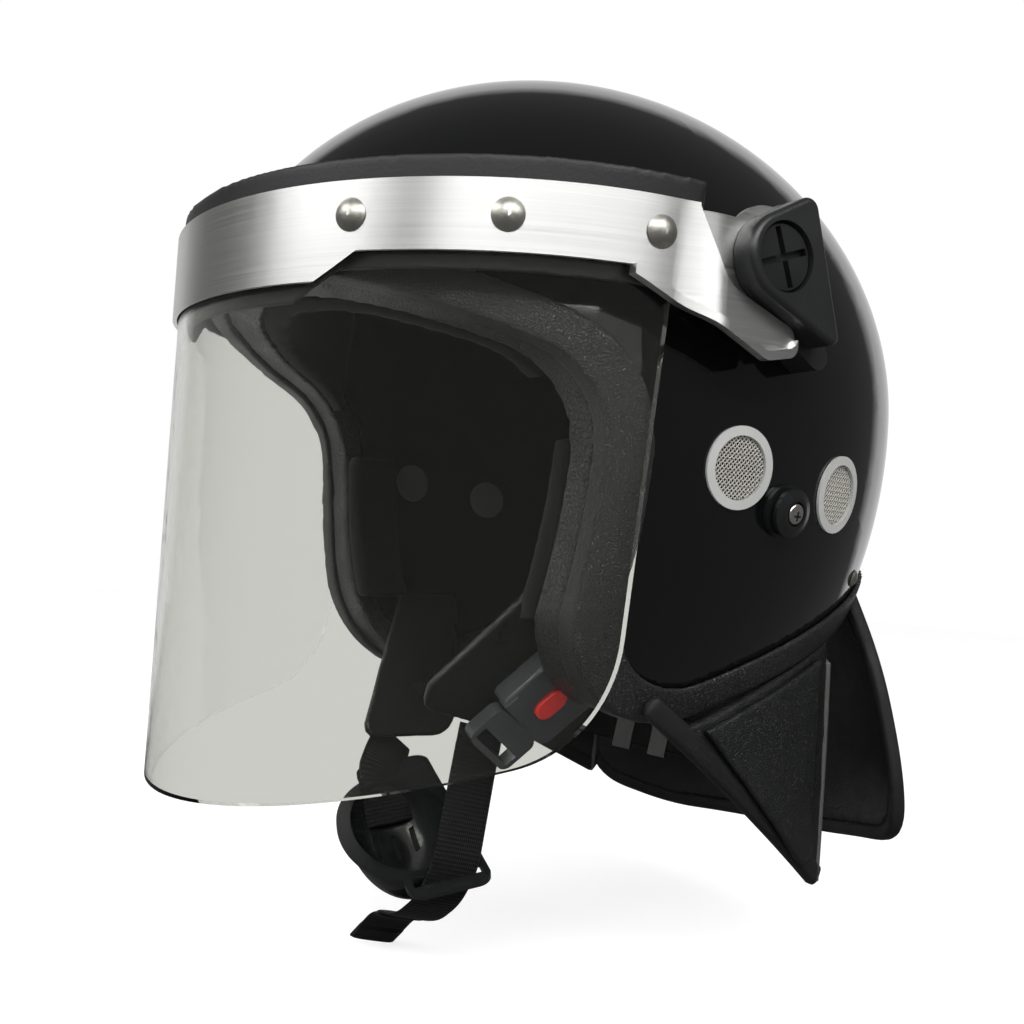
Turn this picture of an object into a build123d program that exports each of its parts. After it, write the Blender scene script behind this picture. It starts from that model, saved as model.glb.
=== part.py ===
"""Police riot helmet: a glass-fibre shell with a lifting clear visor, padding, neck guard and chin strap.

Millimetres. The origin is the centre of the dome, where the head sits. +Z is up, the face looks
along -Y, and the wearer's left side is +X.
"""
from build123d import *
from math import atan2, cos, degrees, radians, sin, sqrt, tan
import os

# Shell
shell_half_width = 124.5
shell_half_length = 153.0
shell_height = 132.6
shell_depth = 174.0
shell_wall = 4.0

# Edge of the shell, seen from the side: a brow line, a cheek line and a nape line
cheek_front = 56.0
brow_corner_drop = 2.0
brow_tilt = 20.0
brow_corner_radius = 36.0
jaw_corner_drop = 141.0
nape_tilt = 20.3
jaw_corner_radius = 46.0
overrun = 30.0

# Clearances
seat_gap = 0.3
fit_gap = 0.15
running_gap = 0.05
soft_gap = 0.4

# Leatherette edge trim, a U round the edge of the shell
trim_wall = 2.5
trim_lip = 3.0
trim_cover_brow = 14.0
trim_cover_cheek = 17.0
trim_cover_nape = 13.0

# Foam liner, its leatherette edge roll and the comfort pads
liner_foam = 18.0
edge_roll_depth = 13.0
edge_roll_start = 1.5
pad_thickness = 11.0
brow_pad_depth = 38.0
brow_pad_reach = 62.0
cheek_pad_depth = 27.0
cheek_pad_top = -22.0
cheek_pad_bottom = -86.0
nape_pad_depth = 36.0
nape_pad_front = 58.0
crown_pad_radius = 58.0
velcro_dot_radius = 9.0
velcro_dot_thickness = 1.2
velcro_dot_places_share = [(0.174, -0.24), (-0.10, -0.205)]

# Ventilation ports
vent_radius = 14.5
vent_bore_radius = 11.2
vent_tube_radius = 12.2
vent_proud = 1.1
vent_mesh_thickness = 0.8
vent_mesh_pitch = 2.3
vent_mesh_wire = 0.7
vent_mesh_turn = 45.0
vent_front_y = -3.8
vent_front_z = -29.2
vent_rear_y = 52.5
vent_rear_z = -34.2

# Mask-strap stud and its screw
stud_y = 19.9
stud_z = -42.4
stud_flange_radius = 9.5
stud_flange_thickness = 1.8
stud_neck_radius = 6.0
stud_neck_length = 1.8
stud_disc_radius = 8.7
stud_disc_thickness = 1.6
stud_cone_radius = 5.6
stud_cone_height = 1.4
stud_recess_radius = 4.4
stud_recess_depth = 1.3
stud_screw_head_radius = 3.7
stud_screw_head_height = 1.5
stud_screw_radius = 2.0

# Rivets of the neck guard in the shell's rear edge
rim_rivet_radius = 3.6
rim_rivet_height = 1.8
rim_rivet_rise = 22.0
rim_rivet_places = (90.0,)

# Visor pivot
pivot_y = -9.8
pivot_z = 38.6
hinge_plane = 137.6
hinge_plate_thickness = 1.6
hinge_eye_radius = 18.4
hinge_plate_half_width = 12.0
hinge_plate_reach = 27.0
sleeve_radius = 5.5
sleeve_bore_radius = 3.6
sleeve_sunk = 7.0
cover_radius = 15.0
cover_height = 9.4
cover_edge_round = 2.0
cover_recess_radius = 11.8
cover_recess_depth = 6.0
cover_corner_radius = 4.5
cover_low_corner_radius = 3.0
cover_top_corner_share = (0.64, 1.14)
cover_low_corner_share = (1.52, -1.53)
cover_foot_start = 12.5
cover_foot_clear = 2.0
base_radius = 14.2
base_low_corner_share = (1.93, -1.98)
knob_clear = 0.45
knob_thickness = 4.2
knob_slot_width = 2.4
knob_slot_depth = 2.2
knob_slot_end = 1.2
knob_slot_turn = 20.0
knob_chamfer = 0.5

# Visor: a conical oval sheet, leaning forward
visor_half_width = 133.84
visor_front_clear = 5.24
visor_centre_forward = 35.04
visor_reach = shell_half_length + visor_front_clear - visor_centre_forward
visor_taper = 0.11
visor_lean = 0.018
lens_thickness = 3.0
lens_top = 12.0
lens_drop_front = 192.7
lens_drop_side = 161.6
lens_side_y = -43.8
lens_corner_radius = 45.0
lens_inset = 0.6
frame_thickness = 1.6

# Stamped frame of the visor, seen from the side
frame_top = 13.86
frame_drop_front = 17.92
frame_drop_side = 8.63
frame_step_front_inset = 11.3
frame_step_rear_inset = 19.6
frame_step_front_y = frame_step_front_inset - shell_half_length
frame_step_rear_y = frame_step_rear_inset - shell_half_length
frame_notch_y = -60.5
frame_flare_front_y = -46.2
frame_flare_rear_y = -28.0
arm_size = 30.0
arm_lower_edge_share = [(-1.69, -0.39), (-0.03, -1.12), (0.42, -1.03)]
arm_inner_edge_share = [(0.40, -0.72), (-0.58, -0.36), (-0.98, 0.43)]
arm_tip_radius = 4.5
arm_bay_radius = 14.0
arm_flange_width = 3.2
arm_flange_height = 1.8

# Rubber gasket between visor and shell
gasket_top = 22.0
gasket_bead_thickness = 9.0
gasket_wall = 2.8
gasket_drop_front = 23.5
gasket_drop_side = 13.5
gasket_end_y = -35.0

# Rivets that clamp gasket, lens and frame
frame_rivet_radius = 5.4
frame_rivet_height = 2.4
frame_rivet_shank_radius = 2.0
frame_rivet_washer_radius = 4.0
frame_rivet_washer_thickness = 1.0
frame_rivet_angles = (36.7, 59.5, 82.2)
frame_rivet_lift = 2.8

# Neck guard
guard_thickness = 5.0
guard_half_width = 99.0
guard_inset_top = 13.0
guard_flare_bottom = 15.0
guard_length_top = shell_half_length - guard_inset_top
guard_length_bottom = shell_half_length + guard_flare_bottom
guard_top_z = -60.0
guard_bottom_z = -190.0
guard_side_front_y = -20.0
guard_side_front_z = -116.0
guard_side_rear_y = 85.0
guard_side_tip_y = 77.0
guard_side_tip_z = -187.0
guard_far_rear_y = 94.0
guard_far_tip_y = 92.0
guard_far_tip_z = -173.0
apron_oval_shares = [(-0.392, 0.680, 0.889, 0.0), (-0.686, 0.980, 0.895, -0.026),
                     (-0.980, 1.275, 1.214, -0.339), (-1.275, 1.307, 1.291, -0.412)]
apron_near_shares = [(0.38, -0.392), (0.575, -0.670), (0.66, -0.960), (0.655, -1.075)]
apron_far_shares = [(-0.645, -1.14), (-0.66, -0.980), (-0.555, -0.686), (-0.36, -0.392)]
apron_bottom_shares = [(0.26, -1.140), (-0.39, -1.185)]
apron_bow_radius_share = 0.157
guard_rear_corner_radius_share = 0.105
guard_corner_radius = 5.0
guard_panel_inset = 10.0
guard_panel_height = 3.0

# Nape strap inside the neck guard, with its two sliders
nape_strap_width = 18.0
nape_strap_thickness = 1.6
nape_strap_z = -127.0
nape_strap_drop = 12.0
nape_strap_half_width = 95.5
nape_strap_inset = 38.0
nape_strap_length = shell_half_length - nape_strap_inset
nape_strap_start_y = 8.0
slider_length = 9.0
slider_thickness = 4.6
slider_border = 3.0
slider_angles = (53.5, 64.5)

# Chin strap: webbing, leather tabs, buckle and chin cup
webbing_width = 20.0
webbing_thickness = 1.8
strap_bend_radius = 4.0
strap_tilt = 28.0
strap_top_y = -26.0
strap_top_z = -101.0
near_strap_x = 53.0
far_strap_x = -61.0
near_strap_y = -60.0
near_strap_z = -186.0
near_strap_turn = -13.0
near_strap_share = [(0.336, 0.58), (0.346, 0.46), (0.40, 0.06), (0.34, -0.08), (0.22, -0.18), (0.06, -0.205)]
far_strap_y = -48.5
far_strap_z = -154.0
far_strap_turn = -30.0
far_strap_share = [(-0.468, 0.10), (-0.360, 0.0), (-0.27, -0.09)]
tail_y = -64.5
tail_z = -208.4
tail_share = [(0.0, 0.0), (0.14, 0.006), (-0.07, -0.10)]
strap_size = 100.0
tab_thickness = 3.0
tab_outline_share = [(-0.17, 0.46), (-0.25, 0.28), (-0.53, -0.12), (-0.52, -0.22), (-0.13, -0.33),
                     (0.12, -0.04)]
tab_corner_radius = 5.0
flap_outline_share = [(-0.07, 0.19), (0.23, 0.19), (0.08, -0.49), (-0.375, -0.49)]
flap_rear_radius = 14.0
buckle_along = -6.0
buckle_down = -13.0
buckle_lift = 7.0
buckle_turn = -38.0
buckle_length = 33.0
buckle_width = 27.0
buckle_thickness = 9.0
buckle_corner_radius = 4.0
buckle_edge_round = 1.5
buckle_pin_size = 6.0
buckle_pin_proud = 1.2
buckle_pin_spread = 20.0
button_length = 14.0
button_width = 9.0
button_travel = 2.5
button_proud = 1.4
button_gap = 0.35
button_well = 2.9
button_round = 0.8
tongue_length = 17.0
tongue_width = 27.0
tongue_thickness = 6.0
tongue_slot_inset = 5.0
tongue_slot_width = 5.0
tongue_slot_clear = 2.6
cup_centre_y = -61.0
cup_centre_z = -174.0
cup_tilt = 20.0
cup_lean = 12.0
cup_turn = -14.0
cup_half_length = 34.0
cup_half_width = 22.0
cup_depth = 24.0
cup_wall = 2.2
cup_flange = 3.4
cup_flange_thickness = 2.0
cup_ear_reach = 47.0
cup_slot_centre = 38.6
cup_slot_width = 5.4
cup_slot_clear = 6.5
cup_ear_shift = 7.0
cup_ear_border = 6.0
cup_vent_spread = 8.0
cup_vent_x = -14.0
cup_vent_width = 2.0
cup_vent_length = 11.0

far_out = 2 * shell_half_length


def save(node, solid):
    """Writes one sub-part as its own file."""
    solid.label = node
    export_step(solid, f"parts/{node}.step")
    print(node, len(solid.solids()), round(solid.volume))


def mirrored(solid):
    """The same piece on the wearer's other side."""
    return mirror(solid, about=Plane.YZ)


def save_pair(name, solid):
    """Writes the left piece and its mirror image on the right."""
    save(f"{name}_left", solid)
    save(f"{name}_right", mirrored(solid))


def dome(grow):
    """The shell's outer body, larger all round by grow: two half ellipsoids, joined at the widest plane."""
    half_width = shell_half_width + grow
    half_length = shell_half_length + grow
    upper_half = Sphere(1, arc_size1=0, arc_size2=90, align=(Align.CENTER, Align.CENTER, Align.MIN))
    lower_half = Sphere(1, arc_size1=-90, arc_size2=0, align=(Align.CENTER, Align.CENTER, Align.MAX))
    above = scale(upper_half, by=(half_width, half_length, shell_height + grow))
    below = scale(lower_half, by=(half_width, half_length, shell_depth + grow))
    return above + below


def layer(outer, inner):
    """The space between the dome grown by outer and the dome grown by inner."""
    return dome(outer) - dome(inner)


def side_prism(outline, low=-far_out, high=far_out):
    """An outline in the Y-Z plane, carried along X from low to high."""
    return extrude(Plane.YZ.offset(low) * outline, amount=high - low)


def behind_edge(brow, cheek, nape):
    """The side view of everything behind the shell's edge line, moved out by brow, cheek and nape."""
    corner_y = -cheek_front - cheek
    brow_z = -brow_corner_drop - (brow - sin(radians(brow_tilt)) * cheek) / cos(radians(brow_tilt))
    jaw_z = -jaw_corner_drop - (nape + sin(radians(nape_tilt)) * cheek) / cos(radians(nape_tilt))
    front = (-far_out, brow_z + (far_out + corner_y) * tan(radians(brow_tilt)))
    rear = (far_out, jaw_z + (far_out - corner_y) * tan(radians(nape_tilt)))
    edge = FilletPolyline(front, (corner_y, brow_z), (corner_y, jaw_z), rear,
                          radius=[brow_corner_radius - (brow + cheek) / 2,
                                  jaw_corner_radius + (cheek + nape) / 2])
    back = Polyline(rear, (far_out, far_out), (-far_out, far_out), front)
    return side_prism(make_face([*edge.edges(), *back.edges()]))


def edge_band(outer, inner_brow, inner_cheek, inner_nape):
    """The strip beside the edge line, from outer beyond it to the three insets behind it."""
    return behind_edge(outer, outer, outer) - behind_edge(-inner_brow, -inner_cheek, -inner_nape)


def box_between(low, high):
    """A box from its low corner to its high corner."""
    size = [high[i] - low[i] for i in range(3)]
    return Pos(*low) * Box(*size, align=(Align.MIN, Align.MIN, Align.MIN))


def on_shell(y, z, grow=0):
    """The place on the left side of the shell at y and z, and the plane across its normal."""
    drop = shell_height if z > 0 else shell_depth
    across = sqrt(1 - (y / (shell_half_length + grow)) ** 2 - (z / (drop + grow)) ** 2)
    x = (shell_half_width + grow) * across
    normal = Vector(x / shell_half_width ** 2, y / shell_half_length ** 2, z / drop ** 2).normalized()
    return Plane(origin=(x, y, z), x_dir=Vector(0, 1, 0).cross(normal).cross(normal), z_dir=normal)


def shell_ports():
    """The planes of the left side's two ventilation ports."""
    return {"front": on_shell(vent_front_y, vent_front_z), "rear": on_shell(vent_rear_y, vent_rear_z)}


def cut_both_sides(solid, tools):
    """The solid less each tool and the tool's mirror image."""
    for tool in tools:
        solid -= tool
        solid -= mirrored(tool)
    return solid


def group(solids):
    """Separate solids in one node."""
    return Compound(children=[piece for solid in solids for piece in solid.solids()])


def make_shell():
    """The moulded shell, open at the face and below, with holes for ports and studs."""
    shell = layer(0, -shell_wall) & behind_edge(-trim_lip, -trim_lip, -trim_lip)
    tools = [port * Cylinder(vent_tube_radius + fit_gap, overrun) for port in shell_ports().values()]
    tools.append(on_shell(stud_y, stud_z) * Cylinder(stud_screw_radius + fit_gap, overrun))
    return cut_both_sides(shell, tools)


def make_trim():
    """The edge trim, a U section that grips both faces of the shell."""
    ring = layer(trim_wall, -shell_wall - trim_wall)
    ring &= edge_band(0, trim_cover_brow, trim_cover_cheek, trim_cover_nape)
    edge = fit_gap - trim_lip
    slot = layer(fit_gap, -shell_wall - fit_gap) & behind_edge(edge, edge, edge)
    return ring - slot


def make_liner():
    """The foam liner, stepped round the inner leg of the trim, with channels behind the ports."""
    inner = -shell_wall - liner_foam
    main = layer(-shell_wall - seat_gap, inner)
    main &= behind_edge(-trim_cover_brow - seat_gap, -trim_cover_cheek - seat_gap,
                        -trim_cover_nape - seat_gap)
    rim = layer(-shell_wall - trim_wall - seat_gap, inner)
    rim &= behind_edge(-edge_roll_depth, -edge_roll_depth, -edge_roll_depth)
    tools = [port * Cylinder(vent_tube_radius + soft_gap, overrun) for port in shell_ports().values()]
    return cut_both_sides(main + rim, tools)


def make_edge_roll():
    """The padded leatherette roll over the foam's edge."""
    ring = layer(-shell_wall - trim_wall - seat_gap, -shell_wall - liner_foam)
    depth = edge_roll_depth - seat_gap
    return ring & edge_band(-edge_roll_start, depth, depth, depth)


def pad_band(depth):
    """The strip beside the edge, inside the liner, that a pad of this depth fills."""
    space = layer(-shell_wall - liner_foam - soft_gap, -shell_wall - liner_foam - pad_thickness)
    return space & edge_band(-edge_roll_start, depth, depth, depth)


def make_pads():
    """The comfort pads: brow, left cheek, nape and crown."""
    brow = pad_band(brow_pad_depth) & box_between((-far_out, -far_out, -far_out),
                                                 (far_out, -brow_pad_reach, far_out))
    cheek = pad_band(cheek_pad_depth) & box_between((0, -cheek_front, cheek_pad_bottom),
                                                   (far_out, 0, cheek_pad_top))
    nape = pad_band(nape_pad_depth) & box_between((-far_out, nape_pad_front, -far_out),
                                                 (far_out, far_out, far_out))
    space = layer(-shell_wall - liner_foam - soft_gap, -shell_wall - liner_foam - pad_thickness)
    crown = space & Cylinder(crown_pad_radius, shell_height, align=(Align.CENTER, Align.CENTER, Align.MIN))
    return brow, cheek, nape, crown


def make_velcro_dots():
    """Touch-fastener dots on the foam, two on each side."""
    grow = -shell_wall - liner_foam
    dots = []
    for y_share, z_share in velcro_dot_places_share:
        place = on_shell(y_share * shell_half_length, z_share * shell_half_length, grow)
        dot = place * Cylinder(velcro_dot_radius, overrun / 2)
        dot &= layer(grow - fit_gap, grow - fit_gap - velcro_dot_thickness)
        dots += [dot, mirrored(dot)]
    return group(dots)


def make_vent(port):
    """One port: a flanged ring through the shell and its round of steel mesh."""
    bore = Cylinder(vent_bore_radius, overrun)
    flange = port * (Cylinder(vent_radius, overrun / 2) - bore) & layer(vent_proud, fit_gap)
    tube = port * (Cylinder(vent_tube_radius, overrun / 2) - bore) & layer(vent_proud / 2, -shell_wall)
    ring = flange + tube
    mesh = port * Pos(0, 0, -vent_mesh_thickness) * Cylinder(vent_bore_radius - fit_gap, vent_mesh_thickness)
    reach = vent_bore_radius - vent_mesh_pitch
    count = int(reach / vent_mesh_pitch)
    side = vent_mesh_pitch - vent_mesh_wire
    holes = [Pos(i * vent_mesh_pitch, j * vent_mesh_pitch) * Rectangle(side, side)
             for i in range(-count, count + 1) for j in range(-count, count + 1)
             if (i * i + j * j) * vent_mesh_pitch ** 2 < reach ** 2]
    cut = extrude(Sketch(children=holes), amount=overrun / 2, both=True)
    return ring, mesh - port * Rot(0, 0, vent_mesh_turn) * cut


def make_stud():
    """The mask-strap stud, a black spool, and the screw that holds it."""
    place = on_shell(stud_y, stud_z)
    standing = (Align.CENTER, Align.CENTER, Align.MIN)
    disc_start = stud_flange_thickness + stud_neck_length
    base = place * Cylinder(stud_flange_radius, overrun / 2) & layer(stud_flange_thickness, fit_gap)
    neck = place * Pos(0, 0, stud_flange_thickness / 2) * Cylinder(
        stud_neck_radius, disc_start - stud_flange_thickness / 2, align=standing)
    disc = Pos(0, 0, disc_start) * Cylinder(stud_disc_radius, stud_disc_thickness, align=standing)
    top = disc_start + stud_disc_thickness
    cone = Pos(0, 0, top) * Cone(stud_disc_radius, stud_cone_radius, stud_cone_height, align=standing)
    seat = top + stud_cone_height - stud_recess_depth
    recess = Pos(0, 0, seat) * Cylinder(stud_recess_radius, overrun, align=standing)
    spool = base + neck + place * (disc + cone - recess)
    spool -= place * Cylinder(stud_screw_radius + fit_gap, overrun)
    head = Cylinder(stud_screw_head_radius, stud_screw_head_height, align=standing)
    head = fillet(head.faces().sort_by(Axis.Z)[-1].edges(), stud_screw_head_height / 2)
    shank_length = seat + shell_wall
    shank = Pos(0, 0, -shank_length) * Cylinder(stud_screw_radius, shank_length, align=standing)
    return spool, place * Pos(0, 0, seat + fit_gap) * (head + shank)


def rivet_dome(radius, height):
    """A rivet's domed head, standing on its own plane."""
    ball_radius = (radius ** 2 + height ** 2) / (2 * height)
    above = Cylinder(ball_radius, height, align=(Align.CENTER, Align.CENTER, Align.MIN))
    return Pos(0, 0, height - ball_radius) * Sphere(ball_radius) & above


def make_rim_rivets():
    """Domed rivets above the trim at the rear, which hold the neck guard's tapes."""
    rivets = []
    for y in rim_rivet_places:
        z = rim_rivet_rise - jaw_corner_drop + (y + cheek_front) * tan(radians(nape_tilt))
        place = on_shell(y, z)
        rivet = place * Pos(0, 0, fit_gap) * rivet_dome(rim_rivet_radius, rim_rivet_height)
        rivets += [rivet, mirrored(rivet)]
    return group(rivets)


def pivot_plane(x):
    """The plane across the pivot axis at x, with its first axis to the rear and its second up."""
    return Plane(origin=(x, pivot_y, pivot_z), x_dir=(0, 1, 0), z_dir=(1, 0, 0))


def round_at_pivot(radius, low, high):
    """A disc or shaft about the pivot axis from x low to x high."""
    return extrude(pivot_plane(low) * Circle(radius), amount=high - low)


def pulled_out(centre_radius, corners):
    """A flat outline: a round at the pivot, pulled out to rounded corners."""
    rounds = Circle(centre_radius).edges()
    for y, z, radius in corners:
        rounds += (Pos(y, z) * Circle(radius)).edges()
    return make_hull(rounds)


def corner_at(share, radius, corner_radius):
    """A rounded corner placed in shares of the pivot round."""
    return share[0] * radius, share[1] * radius, corner_radius


def make_pivot_base():
    """The base that follows the shell under the hinge plate, bored for the sleeve."""
    top = hinge_plane - hinge_plate_thickness - seat_gap
    start = shell_half_width / 2
    outline = pulled_out(base_radius, [corner_at(cover_top_corner_share, cover_radius, cover_corner_radius),
                                       corner_at(base_low_corner_share, base_radius, cover_corner_radius)])
    base = extrude(pivot_plane(start) * outline, amount=top - start) - dome(fit_gap)
    return base - round_at_pivot(sleeve_radius + fit_gap, top - sleeve_sunk, top + overrun)


def make_pivot_sleeve():
    """The sleeve that the visor's hinge plate turns on, with the knob's shank inside."""
    start = hinge_plane - hinge_plate_thickness - seat_gap - sleeve_sunk + fit_gap
    end = hinge_plane + cover_height - cover_recess_depth - seat_gap
    return round_at_pivot(sleeve_radius, start, end) - round_at_pivot(sleeve_bore_radius, start, end)


def make_pivot_cover():
    """The moulded cover: a rounded triangle, a deep round recess and a foot on the base behind the hinge."""
    under = hinge_plane + seat_gap
    floor = hinge_plane + cover_height - cover_recess_depth
    base_top = hinge_plane - hinge_plate_thickness - seat_gap
    corners = [corner_at(cover_top_corner_share, cover_radius, cover_corner_radius),
               corner_at(cover_low_corner_share, cover_radius, cover_low_corner_radius)]
    outline = pulled_out(cover_radius, corners)
    body = extrude(pivot_plane(under) * outline, amount=hinge_plane + cover_height - under)
    body = fillet(body.faces().sort_by(Axis.X)[-1].edges(), cover_edge_round)
    foot_area = outline - Circle(hinge_eye_radius + cover_foot_clear)
    foot_area &= Pos(cover_foot_start, 0) * Rectangle(far_out, far_out, align=(Align.MIN, Align.CENTER))
    foot = extrude(pivot_plane(base_top) * foot_area, amount=under + cover_height / 2 - base_top)
    cover = body + foot - round_at_pivot(cover_recess_radius, floor, floor + overrun)
    return cover - round_at_pivot(sleeve_radius + fit_gap, base_top, floor + overrun)


def make_knob():
    """The turning knob in the cover's recess: a disc with a crossed slot and a shank in the sleeve."""
    start = hinge_plane + cover_height - cover_recess_depth + seat_gap
    radius = cover_recess_radius - knob_clear
    disc = round_at_pivot(radius, start, start + knob_thickness)
    disc = chamfer(disc.faces().sort_by(Axis.X)[-1].edges(), knob_chamfer)
    length = 2 * (radius - knob_slot_end)
    cross = Rectangle(length, knob_slot_width) + Rectangle(knob_slot_width, length)
    slot_floor = start + knob_thickness - knob_slot_depth
    disc -= extrude(pivot_plane(slot_floor) * Rot(0, 0, knob_slot_turn) * cross, amount=overrun)
    shank_start = hinge_plane - hinge_plate_thickness - sleeve_sunk
    return disc + round_at_pivot(sleeve_bore_radius - running_gap, shank_start, start)


def visor_oval(grow, z):
    """The visor's plan at height z, grown by grow."""
    rise = z - pivot_z
    centre = Pos(0, visor_lean * rise - visor_centre_forward, z)
    return centre * Ellipse(visor_half_width + visor_taper * rise + grow, visor_reach + grow)


def visor_sheet(outer, inner, low, high):
    """The conical oval wall between two growths, from low to high."""
    outside = loft([visor_oval(outer, low), visor_oval(outer, high)], ruled=True)
    inside = loft([visor_oval(inner, low), visor_oval(inner, high)], ruled=True)
    return outside - inside


def rivet_places():
    """Planes across the visor's wall at the rivets, with their normals outwards."""
    places = []
    half_width = visor_half_width + visor_taper * frame_rivet_lift
    for side in (1, -1):
        for angle in frame_rivet_angles:
            across = side * sin(radians(angle))
            along = cos(radians(angle))
            point = (half_width * across,
                     visor_lean * frame_rivet_lift - visor_centre_forward - visor_reach * along,
                     pivot_z + frame_rivet_lift)
            tip = visor_lean * along / visor_reach - visor_taper * across ** 2 / half_width
            normal = (across / half_width, -along / visor_reach, tip)
            places.append(Plane(origin=point, x_dir=(0, 0, 1), z_dir=normal))
    return places


def with_rivet_holes(solid):
    """The solid with a hole at each rivet."""
    for place in rivet_places():
        solid -= place * Cylinder(frame_rivet_shank_radius + fit_gap, overrun)
    return solid


def make_frame_rivets():
    """Rivets through frame, lens and gasket: a domed head, a shank and a washer inside."""
    rivets = []
    shank_length = frame_thickness + lens_inset + lens_thickness + gasket_wall + 3 * seat_gap
    standing = (Align.CENTER, Align.CENTER, Align.MAX)
    head = rivet_dome(frame_rivet_radius, frame_rivet_height)
    for wall_place in rivet_places():
        place = wall_place * Pos(0, 0, frame_thickness + fit_gap)
        shank = Cylinder(frame_rivet_shank_radius, shank_length, align=standing)
        washer = Pos(0, 0, -shank_length) * Cylinder(frame_rivet_washer_radius, frame_rivet_washer_thickness,
                                                     align=standing)
        rivets.append(place * (head + shank + washer))
    return group(rivets)


def make_lens():
    """The clear lens, with rounded lower corners and a lower edge that rises to the sides."""
    low = pivot_z - lens_drop_front - overrun
    sheet = visor_sheet(-lens_inset, -lens_inset - lens_thickness, low, pivot_z + lens_top)
    rise = (lens_drop_front - lens_drop_side) / (visor_reach + visor_centre_forward + lens_side_y)
    top = pivot_z + lens_top
    side_low = (lens_side_y - visor_lean * lens_drop_side, pivot_z - lens_drop_side)
    front_low = (-far_out, side_low[1] - rise * (far_out + side_low[0]))
    edge = FilletPolyline((lens_side_y, top), side_low, front_low, radius=lens_corner_radius)
    back = Polyline(front_low, (-far_out, top), (lens_side_y, top))
    return with_rivet_holes(sheet & side_prism(make_face([*edge.edges(), *back.edges()])))


def rounded_at(face, points, radius):
    """The face with the corners at these points rounded."""
    corners = [corner for corner in face.vertices()
               if any((Vector(*corner) - Vector(*point)).length < fit_gap for point in points)]
    return fillet(corners, radius)


def stepped_points(top, drop_front, drop_side, end_y):
    """Outline of a band along the brow that is deeper in the middle, seen from the side."""
    return [(-far_out, pivot_z + top), (-far_out, pivot_z - drop_front),
            (frame_step_front_y, pivot_z - drop_front), (frame_step_rear_y, pivot_z - drop_side),
            (end_y, pivot_z - drop_side)]


def frame_outline():
    """The stamped frame seen from the side: brow band, step, notch and arm."""
    band = stepped_points(frame_top, frame_drop_front, frame_drop_side, frame_notch_y)
    lower = [(pivot_y + y * arm_size, pivot_z + z * arm_size) for y, z in arm_lower_edge_share]
    inner = [(pivot_y + y * arm_size, pivot_z + z * arm_size) for y, z in arm_inner_edge_share]
    points = [*band, *lower, *inner, (inner[-1][0], pivot_z + frame_top)]
    face = make_face(Polyline(*points, close=True).edges())
    face = rounded_at(face, [lower[1], lower[2], inner[0]], arm_tip_radius)
    return rounded_at(face, [inner[1]], arm_bay_radius)


def flare_edge(grow, rise):
    """One edge of the frame's flare in plan: it leaves the oval and turns parallel to the side arm."""
    half_width = visor_half_width + visor_taper * rise + grow
    reach = visor_reach + grow
    along = (visor_lean * rise - visor_centre_forward - frame_flare_front_y) / reach
    across = sqrt(1 - along ** 2)
    start = (half_width * across, frame_flare_front_y, pivot_z + rise)
    end = (hinge_plane + seat_gap + grow, frame_flare_rear_y, pivot_z + rise)
    return Spline(start, end, tangents=[(half_width * along, reach * across, 0), (0, 1, 0)])


def frame_sheet(inner, outer, low, high):
    """The frame's uncut sheet: oval band, flares and straight arms, between two growths."""
    band = visor_sheet(outer, inner, low, high) & box_between((-far_out, -far_out, low),
                                                              (far_out, frame_flare_front_y, high))
    ends = []
    for rise in (low - pivot_z, high - pivot_z):
        inside = flare_edge(inner, rise)
        outside = flare_edge(outer, rise)
        ends.append(make_face([inside.edge(), outside.edge(), Line(inside @ 0, outside @ 0).edge(),
                               Line(inside @ 1, outside @ 1).edge()]))
    flare = loft(ends, ruled=True)
    arm = box_between((hinge_plane + seat_gap + inner, frame_flare_rear_y, low),
                      (hinge_plane + seat_gap + outer, pivot_y + arm_size, high))
    return band + flare + arm + mirrored(flare) + mirrored(arm)


def make_frame():
    """The stamped frame, brow band and both arms in one sheet, with a turned-out flange under each arm."""
    low = pivot_z - 2 * arm_size
    high = pivot_z + frame_top
    outline = frame_outline()
    frame = frame_sheet(0, frame_thickness, low, high) & side_prism(outline)
    behind_notch = Pos(frame_notch_y, pivot_z) * Rectangle(far_out, far_out, align=(Align.MIN, Align.CENTER))
    edge_strip = (outline & behind_notch) - Pos(0, arm_flange_width) * outline
    flange = frame_sheet(frame_thickness / 2, frame_thickness + arm_flange_height, low, high)
    return with_rivet_holes(frame + (flange & side_prism(edge_strip)))


def make_hinge_plate():
    """The plate under the frame's arm: an eye round the sleeve and a tongue that follows the flare."""
    outline = Circle(hinge_eye_radius) + Pos(-hinge_plate_reach / 2, 0) * Rectangle(
        hinge_plate_reach, 2 * hinge_plate_half_width)
    outline -= Circle(sleeve_radius + running_gap)
    sheet = frame_sheet(-seat_gap - hinge_plate_thickness, -seat_gap, pivot_z - hinge_eye_radius,
                        pivot_z + hinge_eye_radius)
    return sheet & side_prism(Pos(pivot_y, pivot_z) * outline, 0)


def make_gasket():
    """The rubber gasket behind the lens, with a thick bead over the lens's top edge."""
    face = -lens_inset - lens_thickness - fit_gap
    low = pivot_z - gasket_drop_front
    wall_top = pivot_z + lens_top + seat_gap
    top = pivot_z + gasket_top
    wall = visor_sheet(face, face - gasket_wall, low, wall_top)
    points = stepped_points(lens_top + seat_gap, gasket_drop_front, gasket_drop_side, gasket_end_y)
    points.append((gasket_end_y, wall_top))
    wall &= side_prism(make_face(Polyline(*points, close=True).edges()))
    bead = visor_sheet(-lens_inset, -lens_inset - gasket_bead_thickness, wall_top, top)
    bead &= box_between((-far_out, -far_out, wall_top), (far_out, gasket_end_y, top))
    return with_rivet_holes(wall + bead)


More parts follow.
